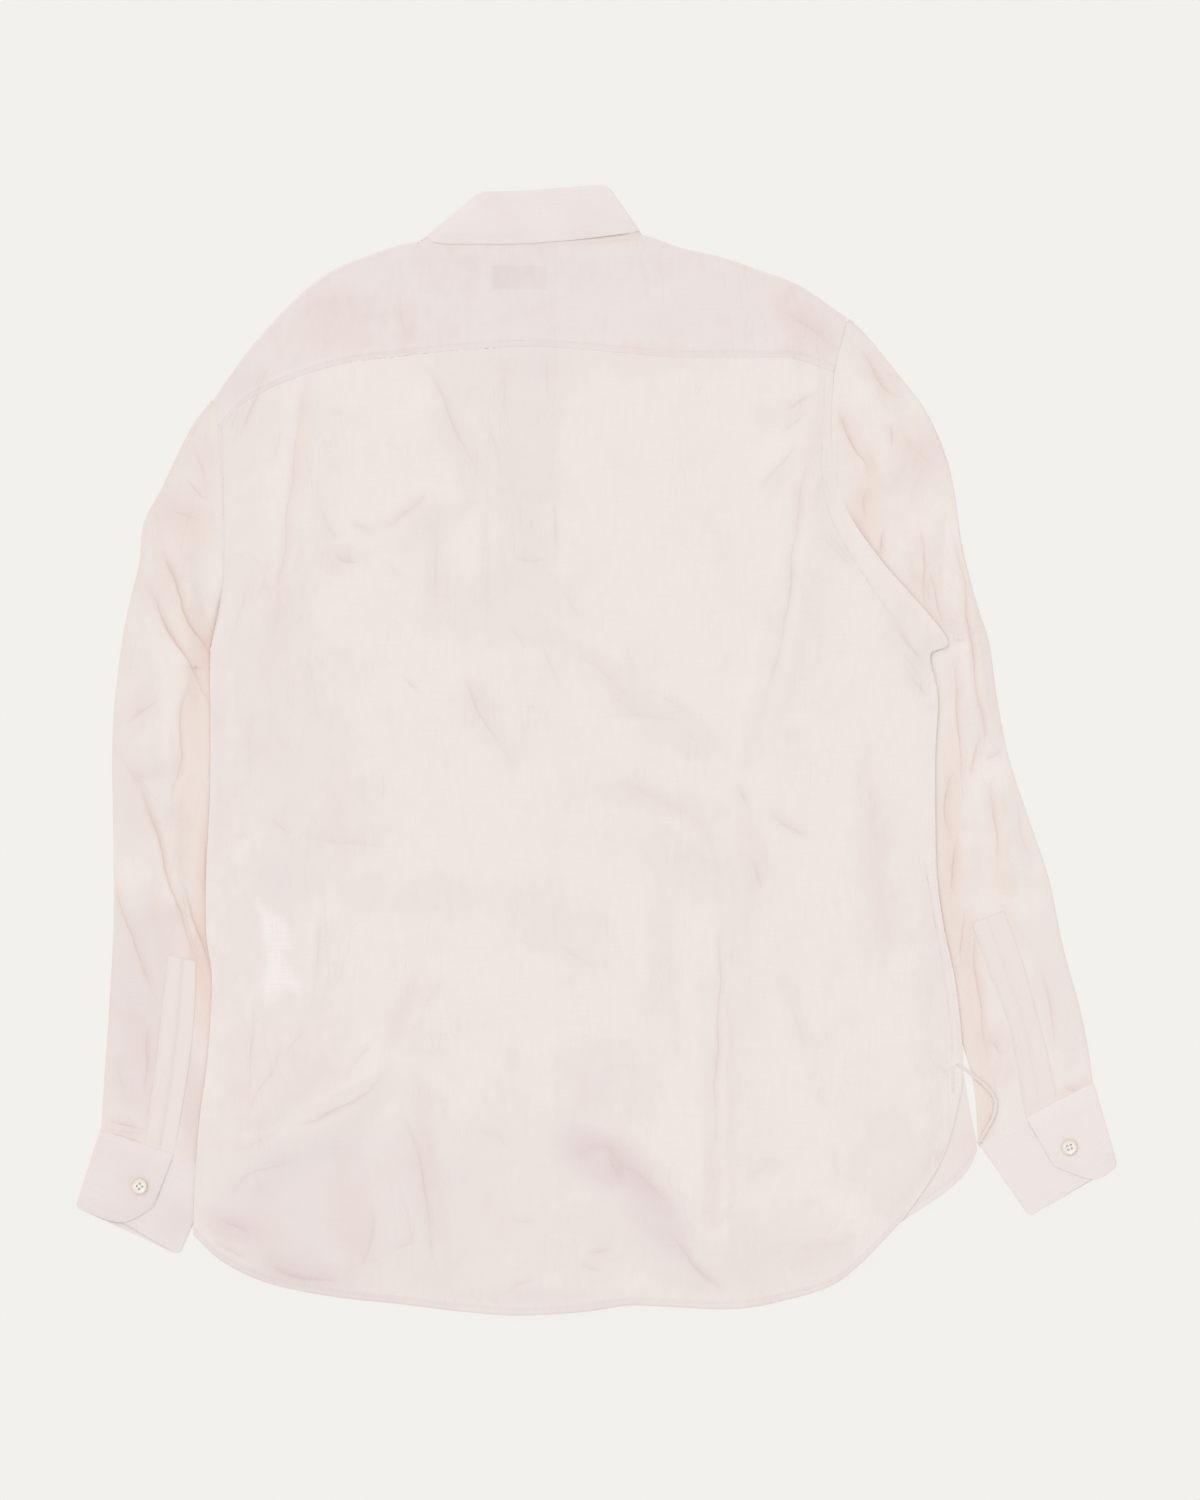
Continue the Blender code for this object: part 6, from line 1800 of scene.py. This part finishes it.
def add_band(name, legs, material, replaced, top_leg, settle, end_settle, seed,
             corners, shade, fold_settle=0.0, lap=None, edge_shade=0.10):
    """A collar or cuff band: its edges thin and settled on what lies below, its field a little
    full, with a painted shade line along the top leg's edges and uneven mauve and warm clouds."""
    middle, up, from_fold = wrapped_band(legs, BAND_SHARES, corners, top_leg, lap)
    depth = np.linalg.norm(middle[:, -1, :2] - middle[:, 0, :2], axis=1)[:, None]
    rim = BAND_SHARES[None, :] * depth
    edge = (1 - BAND_SHARES)[None, :] * depth
    x, y = plane(middle)
    first = np.linalg.norm(middle[:, :, :2] - middle[0][None, :, :2], axis=2)
    lowered = settle[0] * fade(rim, 0.0, 9.0) + settle[1] * fade(edge, 0.0, 13.0)
    lowered = np.maximum(lowered, end_settle * fade(first, 0.0, 9.0))
    lowered = lowered + fold_settle * fade(from_fold, 0.0, 12.0)[:, None]
    field = ease(rim / 7.0) * ease(edge / 7.0)
    relief = 0.25 + 0.3 * crumple(x, y, 26.0, seed) + 0.10 * crumple(x, y, 9.0, seed + 3.0)
    middle[:, :, 2] += up * (relief * field - lowered)
    near = np.minimum(rim, edge)
    near = np.where((end_settle > 0) & (up > 0.5), np.minimum(near, first), near)
    # A painted shade line along the top leg's edges; the last argument sets its warm part.
    line = np.exp(-near / 0.7) * up
    mauve = 0.22 + 0.35 * crumple(x, y, 30.0, seed + 5.0)
    tint = painted_shades(x.shape, mauve=shade * np.clip(mauve, 0.0, 1.0), dim=0.04 * line,
                 warm=edge_shade * line + 0.10 * np.clip(crumple(x, y, 22.0, seed + 8.0), 0, 1))
    wall = 0.35 + 0.6 * np.sqrt(np.clip(near / 1.6, 0.0, 1.0))
    made = build(name, [shell(middle, tint, grain=travelled_grain(middle), wall=wall)], material)
    finish_piece(made, BODY_SLOT, replaced)


def make_collar():
    bottom = CLOTH / 2
    add_band("collar_fall",
             [(LEAF_LEFT_WING, bottom), (LEAF_BACK, BACK_REST + LAYER + bottom),
              (LEAF_RIGHT_WING, bottom)],
             SILK_COLLAR, "collar_leaf", top_leg=1, settle=(0.0, 1.0),
             end_settle=0.0, seed=2.2, corners=(4.5, 0.4), shade=0.4,
             fold_settle=0.9, lap=(0.9, 2.2, -112.0), edge_shade=0.15)
    add_band("collar_stand_cloth",
             [(STAND_LEFT_FRONT, PLACKET_REST + bottom), (STAND_BACK, BACK_REST + bottom),
              (STAND_RIGHT_FRONT, OVERLAP_REST + bottom)],
             SILK_COLLAR, "collar_stand", top_leg=1, settle=(0.0, 0.9),
             end_settle=0.0, seed=3.2,
             corners=(3.0, 0.4), shade=0.4, fold_settle=1.1)


def make_cuffs():
    bottom = CLOTH / 2
    for name, flap, under, tuck, seed, material, shade in (
            ("cuff_left", LEFT_FLAP, LEFT_UNDER, LEFT_TUCK, 1.5, SILK_CUFF, 0.7),
            ("cuff_right", RIGHT_FLAP, RIGHT_UNDER, RIGHT_TUCK, 6.5, SILK_COLLAR, 0.1)):
        add_band(name + "_cloth",
                 [(flap, bottom + 2 * LAYER), (under, bottom), (tuck, bottom + LAYER)],
                 material, name, top_leg=0, settle=(1.15, 0.65),
                 end_settle=0.8, seed=seed, corners=(0.4, 4.5), shade=shade,
                 fold_settle=0.5)


def across(line, share):
    """A grid between the two sides of a strip's lines."""
    share = np.asarray(share)[None, :, None]
    return line[:, None, :2] * (1 - share) + line[:, None, 2:] * share


def make_sleeve_plackets():
    for side, rows, flat, middle_share in (("left", LEFT_SLIT, (0.024, 0.142), 0.52),
                                           ("right", RIGHT_SLIT, (0.024, 0.145), 0.45)):
        name = "sleeve_placket_" + side
        share = STRIP_SHARES[None, :]
        line = spread(rows, 2.0)
        ahead = (line[-1] - line[-2]) / np.linalg.norm(line[-1, :2] - line[-2, :2])
        line = np.vstack([line, line[-1] + ahead * np.array([[2.0], [4.0], [5.5]])])
        grid = across(line, STRIP_SHARES)
        x, y = plane(grid)
        reach = np.linalg.norm(line[:, 2:] - line[:, :2], axis=1)[:, None]
        near = np.minimum(np.minimum(share, 1 - share) * reach,
                          np.linalg.norm(grid - grid[0][None], axis=2))
        to_cuff = fade(np.linalg.norm(grid - grid[-1][None], axis=2), 5.0, 12.0)
        height = LAYER + 1.0 + 0.15 * crumple(x, y, 14.0, 8.0) + 0.18 * ease(near / 3.0)
        height = height * (1 - to_cuff) + (LAYER + 0.62) * to_cuff
        middle = np.dstack([grid, height])
        # Painted shade along the edges and in the groove of the middle stitches, over a faint even
        # warm and mauve shade.
        edge = 0.4 * np.exp(-near / 0.7)
        groove = np.exp(-((share - middle_share) * reach / 1.0) ** 2)
        tint = painted_shades(x.shape, warm=0.12 + 0.5 * edge + 0.25 * groove, mauve=0.15 + 0.1 * groove,
                     dim=0.3 * edge + 0.12 * groove)
        cloth = shell(middle, tint, grain=travelled_grain(middle), wall=STRIP_WALL)
        made = build(name + "_cloth", [cloth], SILK_SLEEVE)
        finish_piece(made, BODY_SLOT, name)
        lines = []
        for at in (0.07, middle_share):
            level = [np.interp(at, STRIP_SHARES, row) + 0.25 for row in height]
            lines.append(np.column_stack([across(line, [at])[:, 0], level])[:-3])
        sew(name + "_stitches", lines, SLEEVE_SLOT)


def make_labels():
    """The two blank labels."""
    left, right, low, high = NECK_LABEL
    x, y = np.meshgrid(np.linspace(left, right, 20), np.linspace(high, low, 10))
    middle = np.dstack([x, y, np.full(x.shape, 4.6)])
    made = build("neck_label_tape", [shell(middle, wall=STRIP_WALL)], LABEL_TAPE)
    finish_piece(made, "label_tape", "neck_label")
    share = np.linspace(0.0, 1.0, 8)
    grid = across(spread(CARE_LABEL, 4.0), share)
    near = front_rest(*plane(grid), PLACKET_REST, PLACKET_FLAT)
    lift = 2.5 + (LAYER - 2.5) * share[None, :]
    middle = np.dstack([grid, near + lift + 0.5])
    made = build("care_label_tape", [shell(middle, wall=STRIP_WALL)], LABEL_TAPE)
    finish_piece(made, "label_tape", "care_label")


# ---- buttons ------------------------------------------------------------------------------------
# Radius and height of a shell button from its rim's foot over the dished face to its middle.
BUTTON_PROFILE = [(0.0, 0.0), (4.6, 0.0), (5.35, 0.25), (5.7, 0.75), (5.68, 1.25), (5.45, 1.7),
                  (5.0, 1.95), (4.5, 1.97), (4.05, 1.8), (3.75, 1.5), (3.3, 1.34), (1.6, 1.3),
                  (0.0, 1.3)]
BUTTON_THICK = 2.0
BUTTON_FACE = 1.3        # height of its middle, on which the thread lies
BUTTON_TURNS = 40
BUTTON_HOLE = 0.85       # radius of each hole, and how far from the middle it is
BUTTON_HOLE_REACH = 1.85
HOLE_TURNS = 16
SLIT_REACH = 7.2         # half the length of a buttonhole
# Side, place and turn of each cuff button, and the turn of its buttonhole.
CUFF_BUTTON_REST = 4.3
CUFF_FACE = 4.05
CUFF_BUTTONS = (("left", -328.7, -313.2, 38.0, -15.0), ("right", 340.2, -285.1, 20.0, 30.0))


def circle(radius, count, x=0.0, y=0.0):
    """Points round a circle."""
    turns = [2 * math.pi * number / count for number in range(count)]
    return [(x + radius * math.cos(turn), y + radius * math.sin(turn)) for turn in turns]


def button_mesh():
    """A lathed four-hole button, its holes cut right through."""
    rings = BUTTON_PROFILE[1:-1]
    points = [(0.0, 0.0, 0.0)]
    for radius, height in rings:
        points += [(x, y, height) for x, y in circle(radius, BUTTON_TURNS)]
    points.append((0.0, 0.0, BUTTON_PROFILE[-1][1]))
    faces = []
    for k in range(BUTTON_TURNS):
        n = (k + 1) % BUTTON_TURNS
        faces.append((0, 1 + n, 1 + k))
        for ring in range(len(rings) - 1):
            a = 1 + ring * BUTTON_TURNS
            b = a + BUTTON_TURNS
            faces.append((a + k, a + n, b + n, b + k))
        last = 1 + (len(rings) - 1) * BUTTON_TURNS
        faces.append((last + k, last + n, len(points) - 1))
    disc = blank("button_blank", points, faces)
    points = []
    faces = []
    for x, y in circle(BUTTON_HOLE_REACH, 8)[1::2]:
        start = len(points)
        for level in (-1.0, 3.0):
            points += [(*spot, level) for spot in circle(BUTTON_HOLE, HOLE_TURNS, x, y)]
        low = [start + k for k in range(HOLE_TURNS)]
        high = [HOLE_TURNS + k for k in low]
        faces += list(zip(low, low[1:] + low[:1], high[1:] + high[:1], high))
        faces += [tuple(low[::-1]), tuple(high)]
    cutter = blank("button_holes", points, faces)
    cut = disc.modifiers.new("holes", "BOOLEAN")
    cut.operation = "DIFFERENCE"
    cut.solver = "EXACT"
    cut.object = cutter
    bpy.context.view_layer.update()
    graph = bpy.context.evaluated_depsgraph_get()
    made = bpy.data.meshes.new_from_object(disc.evaluated_get(graph))
    bpy.data.objects.remove(disc)
    bpy.data.objects.remove(cutter)
    made.name = "button"
    made.materials.clear()
    made.materials.append(PEARL)
    made.polygons.foreach_set("use_smooth", np.ones(len(made.polygons), bool))
    made.set_sharp_from_angle(angle=math.radians(40))
    return made


def blank(name, points, faces):
    """A plain closed object of points in millimetres."""
    mesh = bpy.data.meshes.new(name)
    mesh.from_pydata([tuple(c * MM for c in point) for point in points], [], faces)
    return linked(name, mesh)


def add_button(mesh, name, x, y, base, turn, face_down):
    """A button and the four strands of thread through its holes."""
    made = linked(name + "_pearl", mesh)
    made.location = (x * MM, y * MM, (base + (BUTTON_THICK if face_down else 0.0)) * MM)
    made.rotation_euler = (math.pi if face_down else 0.0, 0.0, math.radians(turn))
    bpy.context.view_layer.update()
    finish_piece(made, BODY_SLOT, name)
    sign = -1.0 if face_down else 1.0
    face = base + (BUTTON_THICK - BUTTON_FACE if face_down else BUTTON_FACE)
    ca = math.cos(math.radians(turn))
    sa = math.sin(math.radians(turn))
    parts = []
    for aside in (-1.48, -1.14, 1.14, 1.48):
        line = [(x + aside * ca - along * sa, y + aside * sa + along * ca, face + sign * up)
                for along, up in ((-1.5, -1.0), (-1.45, 0.05), (-0.7, 0.22), (0.7, 0.22),
                                  (1.45, 0.05), (1.5, -1.0))]
        parts.append(tube(line, 0.32, 0.32, (0, 0, 0, 0), sides=6))
    finish_piece(build(name + "_thread", parts, BUTTON_THREAD), BODY_SLOT)


def make_buttons():
    mesh = button_mesh()
    for side, x, y, turn, _ in CUFF_BUTTONS:
        add_button(mesh, "cuff_button_" + side, x, y, CUFF_BUTTON_REST, turn, False)
    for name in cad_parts:
        if name.startswith("front_button") or name == "neck_button":
            low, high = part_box(name)
            x, y = ((low[k] + high[k]) / 2 / MM for k in (0, 1))
            add_button(mesh, name, x, y, 0.0, 90.0, True)
    # Worked buttonholes: satin stitches along both sides of the slit, a bar at each end.
    for side, x, y, _, turn in CUFF_BUTTONS:
        bars = []
        ahead = np.array([math.cos(math.radians(turn)), math.sin(math.radians(turn))])
        aside = np.array([-ahead[1], ahead[0]])
        for along in np.arange(-SLIT_REACH, SLIT_REACH + 0.01, 0.45):
            for way in (-1, 1):
                start = np.array([x, y]) + ahead * along + aside * way * 0.15
                bars.append((start, start + aside * way * 1.05))
        for end in (-1, 1):
            for shift in (-0.3, 0.0, 0.3):
                middle = np.array([x, y]) + ahead * end * (SLIT_REACH + 0.4 + shift)
                bars.append((middle - aside * 1.3, middle + aside * 1.3))
        bars = [np.array([[*spot, CUFF_FACE] for spot in bar]) for bar in bars]
        sew("buttonhole_" + side, bars, pitch=1.04, long=1.0, wide=0.36, tall=0.2)


make_fronts()
make_back()
make_yoke()
make_sleeve("sleeve_left_cloth", LEFT_RINGS, LEFT_UNDERARM, LEFT_SLEEVE_FOLDS,
            LEFT_SLEEVE_CREASES, LEFT_SLEEVE_PATCHES, seed=9.1, replaced="sleeve_left")
make_sleeve("sleeve_right_cloth", RIGHT_RINGS, RIGHT_UNDERARM, RIGHT_SLEEVE_FOLDS,
            RIGHT_SLEEVE_CREASES, RIGHT_SLEEVE_PATCHES, seed=4.4, replaced="sleeve_right")
make_collar()
make_cuffs()
make_sleeve_plackets()
make_labels()
make_buttons()


# ---- floor, light and camera --------------------------------------------------------------------
def floor_material():
    """Plain pale studio ground, lit from below like a light table so that it takes no shadow."""
    material, tree, shader = new_material("floor")
    place = node(tree, "ShaderNodeTexCoord").outputs["Object"]
    cloud = scaled_noise(tree, place, (3.0, 3.0, 3.0), 2.0)
    pale = (0.8879, 0.8796, 0.8469)
    feed(tree, shader, {
        "Emission Color": mixed(tree, cloud, pale, tuple(0.998 * part for part in pale)),
        "Emission Strength": 0.93, "Base Color": (0.062, 0.0615, 0.059, 1.0), "Roughness": 1.0,
        "Specular IOR Level": 0.0})
    return material


def make_stage():
    """The floor, a nearly even light and the photo's camera, straight above."""
    half = 4000.0
    level = -0.3
    corners = np.array([(-half, -half, level), (half, -half, level), (half, half, level),
                        (-half, half, level)])
    ground = Part(corners, [], [np.array([[0, 1, 2, 3]])], corners, np.zeros((4, 4)),
                  np.zeros((4, 2)))
    build("floor", [ground], floor_material())
    scene = bpy.context.scene
    scene.view_settings.view_transform = "Standard"
    scene.view_settings.look = "None"
    scene.world = bpy.data.worlds.new("studio")
    scene.world.use_nodes = True
    sky = scene.world.node_tree
    feed(sky, sky.nodes["Background"], {"Color": (1.0, 1.0, 1.0, 1.0), "Strength": 0.92})
    lamp = bpy.data.lights.new("soft_key", "SUN")
    lamp.energy = 0.45
    lamp.angle = math.radians(50.0)
    toward = Vector((-0.55, 0.85, 1.0))
    linked("soft_key", lamp).rotation_euler = toward.to_track_quat("Z", "Y").to_euler()
    camera = bpy.data.cameras.new("camera")
    camera.lens = 85.0
    camera.sensor_width = 36.0
    camera.clip_end = 20.0
    scene.camera = linked("camera", camera)
    reach = PHOTO_HEIGHT * PLAN_UNIT * camera.lens / camera.sensor_width + 3.0
    scene.camera.location = (2.5 * MM, 0.7 * MM, reach * MM)


make_stage()
